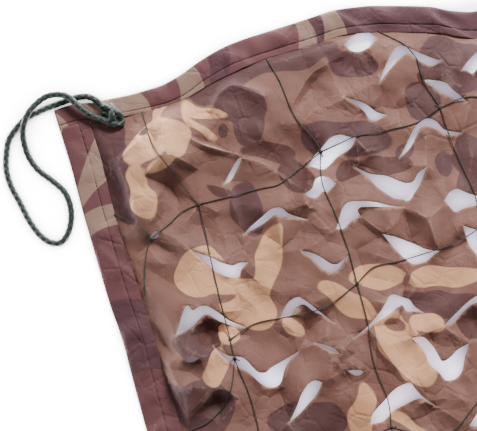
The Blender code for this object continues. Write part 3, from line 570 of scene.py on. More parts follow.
creases = [  # line, rise (below 0 is a trough), width, lean (above 0: the gentle side is on the left)
    ([(36, -54), (37, -72), (37, -88), (38, -101)], 9, 16, 0.85),
    ([(36, -54), (43, -50), (56, -43), (64, -39)], 8, 14, -0.85),
    ([(77, -32), (74, -47), (71, -60)], 6, 7, 0.5),
    ([(77, -33), (88, -35), (96, -41), (108, -61)], 3, 6, -0.3),
    ([(53, -70), (62, -64), (69, -60), (76, -61), (84, -68), (92, -76)], 7, 7, 0.6),
    ([(52, -70), (60, -76), (68, -82), (71, -93), (71, -99)], -6.5, 6, 0),
    ([(40, -78), (51, -88), (55, -93)], 2, 4, 0),
    ([(60, -82), (56, -92), (53, -100), (46, -104)], 5, 10, -0.8),
    ([(96, -42), (93, -54), (89, -65)], 2, 5, 0),
    ([(92, -52), (102, -61), (113, -68), (125, -75)], 6, 14, 0.85),
    ([(101, -38), (105, -48), (108, -61)], 3, 5, 0),
    ([(108, -61), (115, -57), (122, -49)], 3, 5, 0),
    ([(121, -27), (128, -24), (134, -23), (142, -26), (148, -32), (156, -39)], 6, 18, -0.8),
    ([(122, -27), (116, -34), (111, -38)], 4, 8, 0.8),
    ([(109, -24), (122, -27)], -2, 3, 0),
    ([(171, -52), (180, -43), (188, -35), (196, -30), (208, -28)], 7, 18, 0.85),
    ([(174, -66), (183, -61), (192, -55)], 3, 6, 0),
    ([(143, -53), (145, -64), (146, -72)], 2.5, 5, 0),
    ([(124, -77), (133, -81), (142, -88), (152, -98), (162, -115)], 5, 12, -0.8),
    ([(139, -69), (149, -75), (155, -85), (163, -97)], 3, 5, 0),
    ([(91, -105), (96, -110), (102, -109)], 2, 3, 0),
    ([(211, -88), (209, -99), (207, -108)], 5, 5, 0.3),
    ([(211, -89), (216, -99), (225, -100)], 4, 5, 0.3),
    ([(212, -90), (216, -98), (219, -106)], 2, 4, 0),
    ([(209, -89), (199, -103), (194, -111)], -4, 5, 0),
    ([(161, -119), (170, -127), (178, -135), (181, -143)], 3, 5, 0.3),
    ([(161, -122), (165, -133), (178, -150)], 2.5, 5, 0),
    ([(198, -144), (208, -158), (219, -170)], 6, 16, 0.85),
    ([(230, -147), (238, -153), (244, -160)], 4, 10, 0.7),
    ([(244, -160), (245, -173), (244, -184)], 4, 8, 0),
    ([(244, -160), (252, -157), (260, -153)], 4, 6, 0),
    ([(260, -153), (262, -167), (265, -182)], 5, 10, -0.6),
    ([(230, -147), (230, -162), (229, -174)], -4, 6, 0),
    ([(241, -54), (240, -63), (240, -76)], -4, 4, 0),
    ([(240, -77), (248, -70), (256, -64)], 3, 4, 0),
    ([(201, -44), (206, -49), (211, -55)], 2, 4, 0),
    ([(28, -146), (32, -157), (37, -169), (43, -186)], 4, 10, 0.7),
    ([(26, -197), (26, -213), (28, -224)], 5, 12, 0.85),
    ([(28, -224), (36, -228), (43, -231)], 5, 10, 0.85),
    ([(43, -231), (40, -211), (39, -201)], 4, 10, 0.6),
    ([(34, -251), (45, -245), (56, -237), (62, -236), (66, -241)], 6, 14, 0.8),
    ([(62, -186), (64, -194), (65, -205)], -5, 8, 0),
    ([(77, -190), (72, -201), (66, -206)], 4, 10, 0.7),
    ([(125, -202), (126, -212), (125, -226)], 3, 5, 0),
    ([(138, -196), (136, -210), (134, -223)], -4, 4, 0),
    ([(154, -213), (150, -226), (148, -236)], -3, 4, 0),
    ([(147, -238), (152, -247), (156, -253)], 4, 10, 0.7),
    ([(103, -249), (104, -261), (104, -276)], -4, 5, 0),
    ([(147, -260), (143, -271), (136, -284)], 3, 5, 0),
    ([(179, -226), (183, -233), (185, -243), (189, -255), (196, -268), (200, -274)], 7, 20, 0.85),
    ([(206, -220), (208, -227), (211, -238), (212, -244)], 5, 7, 0),
    ([(221, -240), (223, -251)], -4, 3, 0),
    ([(233, -240), (238, -246), (244, -252)], 4, 10, -0.8),
    ([(239, -240), (250, -238), (260, -243)], -6, 14, 0),
    ([(186, -285), (192, -295), (197, -306)], 2.5, 4, 0),
    ([(194, -289), (205, -289), (212, -294)], 2.5, 4, 0),
    ([(189, -292), (192, -301), (194, -310)], -2.5, 4, 0),
    ([(221, -278), (229, -290), (236, -308)], 2.5, 4, 0),
    ([(239, -277), (245, -295)], 2.5, 4, 0),
    ([(90, -165), (100, -180), (107, -193)], 2, 4, 0),
    ([(103, -156), (113, -172), (131, -187)], 2.5, 5, 0),
    ([(106, -152), (112, -150), (119, -144)], -3, 4, 0),
    ([(139, -126), (138, -138), (137, -149)], 3, 5, 0),
    ([(227, -24), (225, -34), (226, -43)], -2.5, 3, 0),
    ([(208, -30), (218, -39), (226, -44)], 2, 4, 0),
    ([(256, -63), (266, -61), (273, -61)], -3, 5, 0),
    ([(30, -100), (31, -109), (25, -128)], -3, 3, 0),
    ([(40, -123), (45, -134), (48, -138)], 2, 4, 0),
    ([(96, -125), (97, -138), (96, -151)], 2, 4, 0),
    ([(106, -135), (108, -142), (111, -148)], -2, 4, 0),
]
foldCorners = [  # across, up, rise: where the folds of the part that the photo shows meet
    (35, -56, 3.5), (77, -34, 5), (93, -31, 3), (49, -40, 0), (64, -36, -1), (72, -60, 3.5), (85, -66, 2.5),
    (91, -76, 0.5), (53, -70, 1), (69, -85, -4), (65, -65, 2), (40, -78, 3.5), (39, -101, 1.5),
    (51, -104, 1), (59, -88, 0), (69, -104, -1), (93, -53, 2), (108, -60, -1.5), (109, -48, 1.5),
    (124, -47, 1), (109, -36, 2), (123, -75, 2.5), (108, -65, 3.5), (96, -79, 0.5), (108, -89, -0.5),
    (139, -84, 2.5), (126, -96, 0), (109, -102, 1), (86, -101, 2), (71, -112, 1.5), (85, -117, -0.5),
    (99, -113, 1.5), (115, -110, 2), (112, -130, -1), (54, -116, 1), (43, -117, -2), (57, -132, 2),
    (75, -126, 2), (88, -134, 0.5), (32, -106, 3), (26, -91, 0), (26, -127, 1), (26, -72, 0), (30, -42, 1),
    (122, -28, 3), (110, -20, 0), (155, -38, 2.5), (134, -23, 2), (153, -20, 0), (172, -52, 1.5),
    (207, -27, 2.5), (190, -41, -2), (133, -49, -1), (136, -65, 1), (157, -60, 1.5), (144, -75, 0.5),
    (164, -74, -1), (178, -66, 2), (192, -59, 1), (210, -52, 1.5), (176, -19, 1), (193, -18, 0),
    (87, -19, 1), (98, -19, -0.5), (227, -24, 3), (224, -41, 1), (215, -29, 1.5), (242, -36, 2),
    (240, -51, 2), (240, -73, -1.5), (263, -40, 3), (254, -61, 1.5), (270, -61, 0), (288, -52, 1),
    (284, -74, 3), (299, -67, 1), (261, -77, 1), (272, -94, 1), (293, -88, 0.5), (291, -107, 0.5),
    (262, -99, 2.5), (243, -85, 2), (224, -84, 1), (231, -101, 0), (244, -110, 1), (270, -113, -1),
    (279, -29, 1), (260, -28, 1), (311, -55, 2), (212, -57, 2.5), (224, -70, 0.5), (166, -96, -3),
    (174, -113, 1), (152, -102, 2), (161, -124, 3.5), (180, -125, 2), (204, -105, 1), (220, -110, 1.5),
    (196, -113, 0.5), (182, -146, 3.5), (168, -154, 1.5), (159, -132, 0), (169, -131, 2.5),
    (152, -141, 0.5), (139, -125, 3), (126, -137, 0), (108, -136, -1), (135, -148, 2), (148, -155, 2.5),
    (135, -172, 1), (178, -174, 2), (188, -167, -1), (201, -135, 3.5), (196, -144, 3), (229, -147, 1.5),
    (227, -173, -3), (209, -162, 0.5), (244, -160, 5), (246, -184, 3), (259, -153, 2), (263, -181, -1),
    (244, -147, 2), (225, -135, 2), (256, -120, 3.5), (238, -128, 1), (264, -135, 1), (278, -127, -1),
    (280, -144, 2), (290, -126, 2), (240, -187, 3), (217, -186, 2), (201, -175, 3.5), (189, -187, 1),
    (218, -187, 1.5), (215, -203, -2.5), (211, -214, -1), (223, -205, 1.5), (245, -199, 2), (267, -202, 0),
    (247, -216, 1), (231, -219, 1), (260, -227, 2), (180, -192, 2), (165, -192, 1), (157, -205, 0.5),
    (170, -213, 1.5), (188, -206, 1.5), (199, -221, 2.5), (179, -224, 1), (206, -216, 3.5), (201, -228, -1),
    (210, -241, 3), (225, -240, 2.5), (220, -251, -1), (236, -240, 3.5), (245, -251, 1.5), (256, -242, -1),
    (250, -260, 1), (221, -278, 2.5), (210, -263, 1.5), (189, -241, 3), (174, -257, 1), (193, -267, 2.5),
    (158, -253, 1), (149, -230, 3.5), (153, -243, -1), (149, -218, 2), (163, -223, 1), (166, -239, 0.5),
    (170, -279, 2.5), (153, -271, 2.5), (140, -286, 0), (153, -296, 1), (138, -270, 1), (125, -285, 2),
    (202, -288, 3), (183, -302, 1), (207, -298, -1), (221, -291, 2.5), (239, -284, 1), (223, -310, 1),
    (242, -300, 2), (111, -156, 3), (125, -152, 1), (132, -188, 0.5), (137, -134, 3.5), (136, -150, 1),
    (122, -143, 1.5), (98, -164, 2.5), (112, -184, 0.5), (116, -199, 2), (92, -166, 1.5), (96, -187, 1),
    (78, -166, 2), (68, -147, 1.5), (57, -140, 2.5), (66, -131, 3), (51, -154, 0), (58, -168, 1),
    (40, -163, 1.5), (41, -187, 3.5), (67, -179, 3.5), (66, -194, -3), (51, -193, 1.5), (75, -197, -2.5),
    (39, -206, 1), (31, -195, -1.5), (23, -209, 2), (36, -228, 3), (43, -218, -2), (54, -210, 1),
    (64, -213, 1), (77, -205, 2.5), (72, -223, 1), (57, -234, 3), (34, -248, 2.5), (65, -237, 3),
    (73, -248, 2.5), (58, -247, -3), (55, -260, -1), (21, -254, -2), (31, -260, 1), (97, -207, 1.5),
    (113, -208, 2.5), (126, -202, 3), (121, -226, 2.5), (129, -223, 0.5), (136, -198, 2.5), (137, -214, -2),
    (108, -250, 1.5), (95, -254, -1), (101, -274, 1.5), (87, -246, 1), (76, -253, 2), (76, -270, 0),
    (85, -278, 1), (126, -243, 1), (128, -263, 1), (143, -252, 2.5),
]


def clothSkin():  # upper faces of the cloth's solid, and the loops round it and round its gaps
    shell = bmesh.new()
    shell.from_mesh(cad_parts["leaf_cloth"].data)
    bmesh.ops.remove_doubles(shell, verts=shell.verts, dist=1e-6)
    shell.normal_update()
    rest = [face for face in shell.faces if face.normal.z < leafCloth["topFrom"]]
    bmesh.ops.delete(shell, geom=rest, context="FACES")
    bmesh.ops.triangulate(shell, faces=shell.faces)
    shell.verts.index_update()
    points = np.array([vert.co[:] for vert in shell.verts]) / mm - corner
    faces = [[vert.index for vert in face.verts] for face in shell.faces]
    follows = {}
    for edge in shell.edges:
        if len(edge.link_loops) == 1:
            loop = edge.link_loops[0]
            follows[loop.vert.index] = loop.link_loop_next.vert.index
    loops = []
    while follows:
        start, here = next(iter(follows.items()))
        del follows[start]
        ring = [start]
        while here != start and here in follows:
            ring.append(here)
            here = follows.pop(here)
        loops.append(points[ring][:, :2])
    shell.free()
    loops.sort(key=lambda loop: -np.ptp(loop[:, 0]))
    return points, faces, loops[0], loops[1:]


def lipsOf(loop):  # split a gap's loop at its two tips
    far = np.linalg.norm(loop[:, None] - loop[None], axis=2)
    first, second = np.unravel_index(far.argmax(), far.shape)
    if loop[first, 0] > loop[second, 0]:
        first, second = second, first
    ring = np.roll(loop, -first, axis=0)
    split = (second - first) % len(loop)
    one, other = ring[:split + 1], np.vstack([ring[split:], ring[:1]])[::-1]
    span = one[-1] - one[0]
    rise = [np.mean(span[0] * (lip - one[0])[:, 1] - span[1] * (lip - one[0])[:, 0]) for lip in (one, other)]
    return (one, other) if rise[0] > rise[1] else (other, one)


def allLips(gaps):  # the named gaps take their own lips, the others keep those of the solid
    lips = [(np.array(upper + lower[:1]), np.array(upper[:1] + lower[::-1]))
            for upper, lower in gapLips.values()]
    middles = [np.vstack(pair).mean(0) for pair in lips]
    for loop in gaps:
        if min(np.linalg.norm(loop.mean(0) - place) for place in middles) > leafCloth["sameGap"]:
            lips.append(lipsOf(loop))
    return lips


def lineForm(points, line, rise, width, lean):  # height that one crease adds at each point
    line = np.array(line, float)
    best = np.full(len(points), np.inf)  # distance from the line
    side = np.zeros(len(points))  # 1 straight to its left, -1 to its right, and less beyond its ends
    share = np.zeros(len(points))
    pieces = len(line) - 1
    for index, (start, end) in enumerate(zip(line, line[1:])):
        span = end - start
        offset = points - start
        part = np.clip(offset @ span / (span @ span), 0, 1)
        away = offset - part[:, None] * span
        distance = np.linalg.norm(away, axis=1)
        nearer = distance < best
        best[nearer] = distance[nearer]
        cross = span[0] * offset[:, 1] - span[1] * offset[:, 0]
        side[nearer] = (cross / np.linalg.norm(span) / np.maximum(distance, 1e-6))[nearer]
        share[nearer] = (index + part[nearer]) / pieces
    reach = np.maximum(2 * width * (1 + lean * side), leafCloth["steepest"])
    ends = leafCloth["creaseEnds"]
    body = ends + (1 - ends) * np.sin(np.pi * share) ** leafCloth["creaseSwell"]
    return rise * body * np.clip(1 - best / reach, 0, 1) ** leafCloth["creaseSlope"]


def triangulated(places, sides):  # triangles over the places that keep the given sides
    places = [Vector(place) for place in places]
    found, _, triangles, _, _, _ = delaunay_2d_cdt(places, sides, [], 0, 1e-5)
    return np.array([place[:] for place in found]), [list(triangle) for triangle in triangles]


def crumpledFacets(border):  # flat facets that meet at crisp folds: their corners and triangles
    chance = np.random.default_rng(leafCloth["seed"])
    size, shift = leafCloth["facetSize"], leafCloth["facetShift"]
    places = staggered(border.min(0) - size, border.max(0) + size, size)
    places += chance.uniform(-shift, shift, places.shape)
    mean, swing, least, most = leafCloth["uneven"]
    uneven = ripple(places, leafCloth["seed"] + 3, leafCloth["unevenLength"])
    busy = np.clip(mean + swing * uneven, least, most)
    rise = chance.uniform(-1, 1, len(places)) * leafCloth["facetRise"] * busy
    chosen = np.array(foldCorners)
    away = np.linalg.norm(places[:, None] - chosen[None, :, :2], axis=2).min(1)
    free = away > size * np.where(isShown(places, -leafCloth["insidePhoto"]), *leafCloth["cornerRoom"])
    places = np.vstack([places[free], chosen[:, :2]])
    rise = np.concatenate([rise[free], chosen[:, 2] * leafCloth["foldShare"]])
    found, triangles = triangulated(places, [])
    return np.column_stack([found, rise]), triangles


def besideLine(line, distance, step):  # the line moved to its left
    line = np.array(line, float)
    way = unit(np.gradient(line, axis=0))
    return evenly(line + distance * np.column_stack([-way[:, 1], way[:, 0]]), step)


def facetFolds(corners, triangles, step):  # rows of points on the facets' sides
    sides = {tuple(sorted(pair)) for a, b, c in triangles for pair in ((a, b), (b, c), (c, a))}
    return [evenly(corners[list(side), :2], step) for side in sorted(sides)]


def pulledFolds(tips):  # the pull between the tips of neighbouring gaps
    chance = np.random.default_rng(leafCloth["seed"] + 2)
    rows = []
    for index, tip in enumerate(tips):
        away = np.linalg.norm(tips - tip, axis=1)
        away[[index, index ^ 1]] = np.inf  # not the gap's own other tip
        for other in np.argsort(away)[:leafCloth["pulls"]]:
            if away[other] < leafCloth["pullReach"]:
                bend = (tip + tips[other]) / 2 + chance.uniform(*leafCloth["pullShift"], 2)
                rise = leafCloth["tensionRise"] * chance.uniform(*leafCloth["pullRise"])
                width, lean = chance.uniform(*leafCloth["pullWidth"]), chance.uniform(*leafCloth["pullLean"])
                rows.append(([tip, bend, tips[other]], rise, width, lean))
    return rows


def apart(places, fixed, room):  # the places that keep their distance from fixed points and each other
    cells = {}
    for place in fixed:
        cells.setdefault((int(place[0] // room), int(place[1] // room)), []).append(place)
    kept = []
    for place in places:
        column, row = int(place[0] // room), int(place[1] // room)
        around = [(column + x, row + y) for x in (-1, 0, 1) for y in (-1, 0, 1)]
        near = [other for cell in around for other in cells.get(cell, ())]
        if all((other[0] - place[0]) ** 2 + (other[1] - place[1]) ** 2 > room * room for other in near):
            cells.setdefault((column, row), []).append(place)
            kept.append(place)
    return np.array(kept)


def staggered(low, high, step):  # corners of even triangles
    rows = []
    for row, up in enumerate(np.arange(low[1], high[1], step * 0.866)):
        across = np.arange(low[0] + step / 2 * (row % 2), high[0], step)
        rows.append(np.column_stack([across, np.full(len(across), up)]))
    return np.vstack(rows)


def onCloth(places, border, rims):  # inside the border and in none of the gaps
    keep = insideLoop(places, border)
    for rim in rims:
        keep &= ~insideLoop(places, rim)
    return keep


def meshBetween(border, rims, lines):  # even triangles from border to rims, with rows of points on the folds
    chance = np.random.default_rng(leafCloth["seed"] + 1)
    step, uneven = leafCloth["spacing"], leafCloth["unevenness"]
    fine = staggered(border.min(0), border.max(0), step)
    coarse = staggered(border.min(0), border.max(0), leafCloth["hiddenSpacing"])
    grid = np.vstack([fine[isShown(fine)], coarse[~isShown(coarse)]])
    grid += chance.uniform(-uneven, uneven, grid.shape) * step
    points, sides, count = [border, *rims], [], 0
    for loop in points:
        index = np.arange(len(loop)) + count
        sides += list(zip(index.tolist(), np.roll(index, -1).tolist()))
        count += len(loop)
    for places, room in zip((*map(np.vstack, lines), grid), leafCloth["room"]):
        places = places[onCloth(places, border, rims)]
        points.append(apart(places, np.vstack(points), step * room))
    found, triangles = triangulated(np.vstack(points), sides)
    triangles = np.array(triangles)
    triangles = triangles[onCloth(found[triangles].mean(1), border, rims)]
    used, triangles = np.unique(triangles, return_inverse=True)
    return found[used], triangles.reshape(-1, 3)


def softened(values, triangles, passes, share=0.5):  # each value drawn to the mean of its neighbours
    sides = np.vstack([triangles[:, [0, 1]], triangles[:, [1, 2]], triangles[:, [2, 0]]])
    for _ in range(passes):
        total = np.zeros_like(values)
        count = np.zeros(len(values))
        for a, b in ((0, 1), (1, 0)):
            np.add.at(total, sides[:, a], values[sides[:, b]])
            np.add.at(count, sides[:, a], 1)
        values = values * (1 - share) + share * total / np.maximum(count, 1)
    return values


def bendAt(points, triangles):  # how far a point stands out of its neighbours' middle, in mm
    a, b, c = points[triangles].transpose(1, 0, 2)
    faceWays = np.cross(b - a, c - a)
    ways = np.zeros_like(points)
    total = np.zeros_like(points)
    count = np.zeros(len(points))
    for one in range(3):
        np.add.at(ways, triangles[:, one], faceWays)
        for other in range(3):
            if one != other:
                np.add.at(total, triangles[:, one], points[triangles[:, other]])
                np.add.at(count, triangles[:, one], 1)
    ways = unit(ways)
    return ((points - total / np.maximum(count, 1)[:, None]) * ways).sum(1) * np.sign(ways[:, 2])


def distanceTo(targets, places):  # from each place to the nearest target, in the flat
    tree = KDTree(len(targets))
    for index, target in enumerate(targets):
        tree.insert((*target, 0), index)
    tree.balance()
    return np.array([tree.find((*place, 0))[2] for place in places])


def heightsOn(flat, points, faces):  # height of a folded surface at each point
    level = points.copy()
    level[:, 2] = 0
    tree = BVHTree.FromPolygons([Vector(place) for place in level], faces)
    heights = np.zeros(len(flat))
    for index, place in enumerate(flat):
        spot, _, face, _ = tree.find_nearest(Vector((*place, 0)))
        ground = [Vector(level[number]) for number in faces[face]]
        raised = [Vector(points[number]) for number in faces[face]]
        heights[index] = barycentric_transform(spot, *ground, *raised).z
    return heights


def leafForms(tips):  # the listed creases and the pulled ones, as (line, rise, width, lean)
    forms = [(line, rise * leafCloth["creaseShare"], width, lean) for line, rise, width, lean in creases]
    return forms + pulledFolds(tips)


def foldLines(forms, step):  # rows of points on the folds, and beside them where the cloth bends back
    beside = []
    for line, _, width, lean in forms:
        for way in (1, -1):
            beside.append(besideLine(line, way * min(leafCloth["besideFold"], width), step))
            if abs(lean) > leafCloth["leaning"] and way * lean < 0:  # the foot of its steep side
                beside.append(besideLine(line, way * leafCloth["steepest"], step))
    return [evenly(line, step) for line, *_ in forms], beside


def makeLeafCloth():
    points, faces, border, gaps = clothSkin()
    lips = allLips(gaps)
    rim = leafCloth["rimSpacing"]
    rims = [np.vstack([smoothLine(upper, rim)[:-1], smoothLine(lower, rim)[::-1][:-1]])
            for upper, lower in lips]
    tips = np.vstack([place for upper, _ in lips for place in (upper[0], upper[-1])]).reshape(-1, 2)
    border = evenly(np.vstack([border, border[:1]]), leafCloth["borderSpacing"])[:-1]
    border = pushedOut(border, leafCloth["tuckedIn"])
    forms = leafForms(tips)
    corners, facets = crumpledFacets(border)
    step = leafCloth["spacing"] * leafCloth["foldStep"]
    crisp, beside = foldLines(forms, step)
    flat, triangles = meshBetween(border, rims, (crisp, facetFolds(corners, facets, step), beside))
    print("leaf cloth:", len(rims), "gaps,", len(flat), "points,", len(triangles), "triangles")
    added = heightsOn(flat, corners, facets)
    for upper, lower in lips:
        for lip, rise in ((upper, leafCloth["lipRise"]), (lower, -leafCloth["lipRise"])):
            forms.append((lip, rise, leafCloth["lipReach"], 0))
    for form in forms:
        added += lineForm(flat, *form)
    added = softened(added, triangles, *leafCloth["lastSoftening"])
    fromEdge = distanceTo(border, flat)
    height = softened(heightsOn(flat, points, faces), triangles, leafCloth["softening"])
    height += added * np.clip(fromEdge / leafCloth["settle"], 0, 1)
    height -= leafCloth["underTape"] * np.clip(1 - fromEdge / leafCloth["tapeReach"], 0, 1)
    surface = np.column_stack([flat, np.maximum(height, leafCloth["lowest"])])
    piece = newPiece("printed_leaf_cloth", surface, triangles, leafFinish, "printed_cloth")
    patchReadings(piece, flat)
    # the bend drives the painted highlight on ridges and the painted shade in creases; the cut edges get a
    # painted highlight
    bend = bendAt(surface, triangles) * np.clip(fromEdge / leafCloth["paintedLightFrom"], leafCloth["leastPaintedLight"], 1)
    bend[distanceTo(np.vstack(rims), flat) < leafCloth["cutReach"]] = leafCloth["cutEdge"]
    addReading(piece, "bend", bend)
    piece.data.set_sharp_from_angle(angle=math.radians(leafCloth["sharpFrom"]))
    skin = piece.modifiers.new("Thickness", "SOLIDIFY")
    skin.thickness = leafCloth["thickness"] * mm
    skin.offset = -1
    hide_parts("leaf_cloth")
    return piece, BVHTree.FromPolygons([Vector(place) for place in surface], triangles.tolist())


# Binding: the same cloth folded round the edge and stitched
binding = {
    "step": 1.6, "stationSpacing": 9, "thickness": 2.2, "lap": 2.5, "stitchIn": 15.0, "stitchDepth": 0.9,
    "leastInside": 3,  # between the stitches and the inner edge
    "pucker": 0.2475, "puckerLength": 7.0, "puckerSlant": 1.3, "puckerReach": 4, "puckerSwing": 17,
    "puckerShares": (0.6, 0.4),  # the even and the swinging part of a pucker
    "wave": 0.9, "waveLength": 26.0, "bulge": 1.6, "bulgeTurn": 1.2, "looseEdge": 2.0, "looseFrom": 0.7,
    "lift": 0.02, "edgeLift": 0.35, "foldSettle": 2, "bandBow": 1.6, "noBand": -20.0,
    "beneath": (0.6, 0.5, 0.3),  # points of the underside: from the fold, share of the width, from the edge
    "stitchLength": 2.6, "stitchGap": 0.4, "stitchRise": (0.15, 0.4), "firstStitch": 2, "lastStitch": 4,
    "stitchRings": (0, 0.15, 0.5, 0.85, 1), "threadWidth": 0.45, "threadEnd": 0.45, "threadSides": 5,
}
bindingDyes = {
    "brown": (0.136, 0.053, 0.058), "sand": (0.280, 0.175, 0.135), "mauve": (0.094, 0.040, 0.048),
    "dark": (0.080, 0.028, 0.030),
}
bands = {  # dye, along at the outer then the inner edge where it starts, and the same where it ends
    "binding_left": [
        ("sand", -22, 20, 0, -60), ("sand", -79, -64, -64, -31), ("sand", -101, -98, -84, -82),
        ("mauve", -209, -211, -152, -157), ("sand", -296, -284, -262, -270),
        ("mauve", -350, -346, -322, -318),
    ],
    "binding_top": [
        ("sand", -8, 0, -1, 8), ("sand", 22, 30, 66, 71), ("sand", 95, 94, 110, 114),
        ("mauve", 122, 118, 140, 134), ("sand", 193, 190, 202.5, 205), ("mauve", 202.5, 205, 213, 210),
        ("sand", 213, 210, 224, 228), ("mauve", 224, 228, 340, 334), ("sand", 352, 346, 372, 378),
        ("sand", 424, 430, 448, 444), ("mauve", 448, 444, 470, 476),
    ],
    "binding_right": [
        ("sand", -84, -92, -58, -50), ("mauve", -150, -146, -112, -118), ("sand", -196, -188, -176, -180),
        ("sand", -262, -270, -232, -226), ("mauve", -340, -334, -300, -306),
    ],
    "binding_bottom": [
        ("sand", 30, 24, 58, 62), ("mauve", 88, 94, 130, 126), ("sand", 160, 154, 186, 190),
        ("sand", 214, 218, 230, 226), ("mauve", 262, 256, 306, 310), ("sand", 344, 350, 372, 366),
        ("mauve", 408, 404, 440, 446),
    ],
}
tapeFolds = {  # line of (along, inset), rise, width, lean, as for the cloth's creases
    "binding_top": [
        ([(221, 0), (234, 12), (248, 27)], 2.2, 6, 0.8), ([(240, 6), (262, 9), (290, 7)], 0.9, 7, 0),
        ([(292, 9), (306, 15), (322, 26)], 2.4, 7, 0.8), ([(300, 0), (318, 8)], 1.2, 6, -0.6),
        ([(128, 3), (146, 11), (152, 22)], 1.3, 6, 0.6), ([(30, 12), (66, 12.5)], 1.1, 3, -0.7),
        ([(175, 2), (186, 12)], 0.9, 5, 0), ([(360, 2), (371, 20)], 1.6, 6, 0.7),
        ([(430, 22), (446, 3)], 1.6, 6, -0.7),
    ],
    "binding_left": [
        ([(-26, 2), (-45, 13), (-60, 15)], 1.0, 5, 0.5),
        ([(-109, 3), (-126, 14), (-144, 26)], 1.9, 6, 0.85),
        ([(-150, 17), (-184, 15), (-216, 12)], 1.3, 6, 0.3),
        ([(-214, 11), (-236, 10), (-256, 9)], 1.4, 6, -0.4), ([(-178, 2), (-200, 8)], 1.2, 5, 0.5),
        ([(-300, 4), (-322, 22)], 1.5, 6, 0.7),
    ],
    "binding_right": [
        ([(-120, 2), (-138, 20)], 1.6, 6, 0.7), ([(-250, 20), (-274, 5)], 1.6, 6, -0.7),
    ],
    "binding_bottom": [
        ([(120, 2), (136, 22)], 1.6, 6, 0.7), ([(300, 20), (322, 4)], 1.6, 6, -0.7),
    ],
}
stripSides = [  # node, whether it runs up the net, and which way is inward
    ("binding_top", False, -1), ("binding_bottom", False, 1),
    ("binding_left", True, 1), ("binding_right", True, -1),
]


def stripStations(node, upright):  # along, lower and upper edge and lift of a strip's solid, every few mm
    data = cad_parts[node].data
    points = np.array([vert.co[:] for vert in data.vertices]) / mm - corner
    sides = np.array([edge.vertices[:] for edge in data.edges])
    along, out, height = points[:, 1 if upright else 0], points[:, 0 if upright else 1], points[:, 2]
    first, last = along[sides[:, 0]], along[sides[:, 1]]
    rows = []
    count = int(np.ptp(along) / binding["stationSpacing"])
    for place in np.linspace(along.min() + 0.05, along.max() - 0.05, count):  # just inside both ends
        cut = sides[(first - place) * (last - place) < 0]
        share = (place - along[cut[:, 0]]) / (along[cut[:, 1]] - along[cut[:, 0]])
        outs, heights = (ends[cut[:, 0]] + share * (ends[cut[:, 1]] - ends[cut[:, 0]])
                         for ends in (out, height))
        rows.append((place, outs.min(), outs.max(), heights.min()))
    return np.array(rows)


def stripSection(width):  # distance in from the fold, height of the face
    full, stitch = binding["thickness"], min(binding["stitchIn"], width - binding["leastInside"])
    groove, rest = full - binding["stitchDepth"], width - stitch
    return [
        (0, 0.5 * full), (0.25, 0.8 * full), (0.9, 0.97 * full), (2.2, full), (0.3 * stitch, full),
        (0.47 * stitch, full), (0.63 * stitch, full), (0.79 * stitch, full), (stitch - 1.1, 0.99 * full),
        (stitch - 0.4, 0.93 * full), (stitch, groove), (stitch + 0.4, 0.9 * full),
        (stitch + 0.12 * rest, 0.97 * full), (stitch + 0.4 * rest, 1.02 * full),
        (stitch + 0.75 * rest, 1.05 * full), (stitch + 0.93 * rest, 1.06 * full), (width, full),
    ]


def stripEdges(node, upright, inward):  # along, fold, inner edge and lift, every step of the strip
    rows = stripStations(node, upright)
    outer, inner = (rows[:, 2], rows[:, 1]) if inward < 0 else (rows[:, 1], rows[:, 2])
    edge = np.column_stack([rows[:, 0], outer, inner, rows[:, 3]])
    if upright:  # its ends go on under the strips across them
        lap = np.array([binding["lap"], 0, 0, 0])
        edge = np.vstack([edge[0] - lap, edge, edge[-1] + lap])
    return smoothLine(edge, binding["step"], 6)


def tapeRelief(along, inset, share, swell, seed):  # puckers at the stitches and waves of the tape
    turn = (along + binding["puckerSlant"] * inset) / binding["puckerLength"]
    pucker = binding["pucker"] * math.sin(2 * math.pi * turn + 2 * swell)
    pucker *= math.exp(-abs(inset - binding["stitchIn"]) / binding["puckerReach"])
    even, swinging = binding["puckerShares"]
    pucker *= even + swinging * math.sin(along / binding["puckerSwing"] + seed)
    bulge = binding["bulge"] * max(0.0, swell) * math.sin(math.pi * min(1, share * binding["bulgeTurn"]))
    return pucker + bulge + binding["looseEdge"] * max(0.0, -swell) * max(0.0, share - binding["looseFrom"])


def bandDepth(node, dye, along, share):  # how deep in a dye's bands each point is, in mm, below 0 outside
    depth = np.full(len(along), binding["noBand"])
    bow = binding["bandBow"] * np.sin(np.pi * share)
    for name, startOut, startIn, endOut, endIn in bands[node]:
        if name == dye:
            start, end = (one + (other - one) * share + bow
                          for one, other in ((startOut, startIn), (endOut, endIn)))
            depth = np.maximum(depth, np.minimum(along - start, end - along))
    return depth


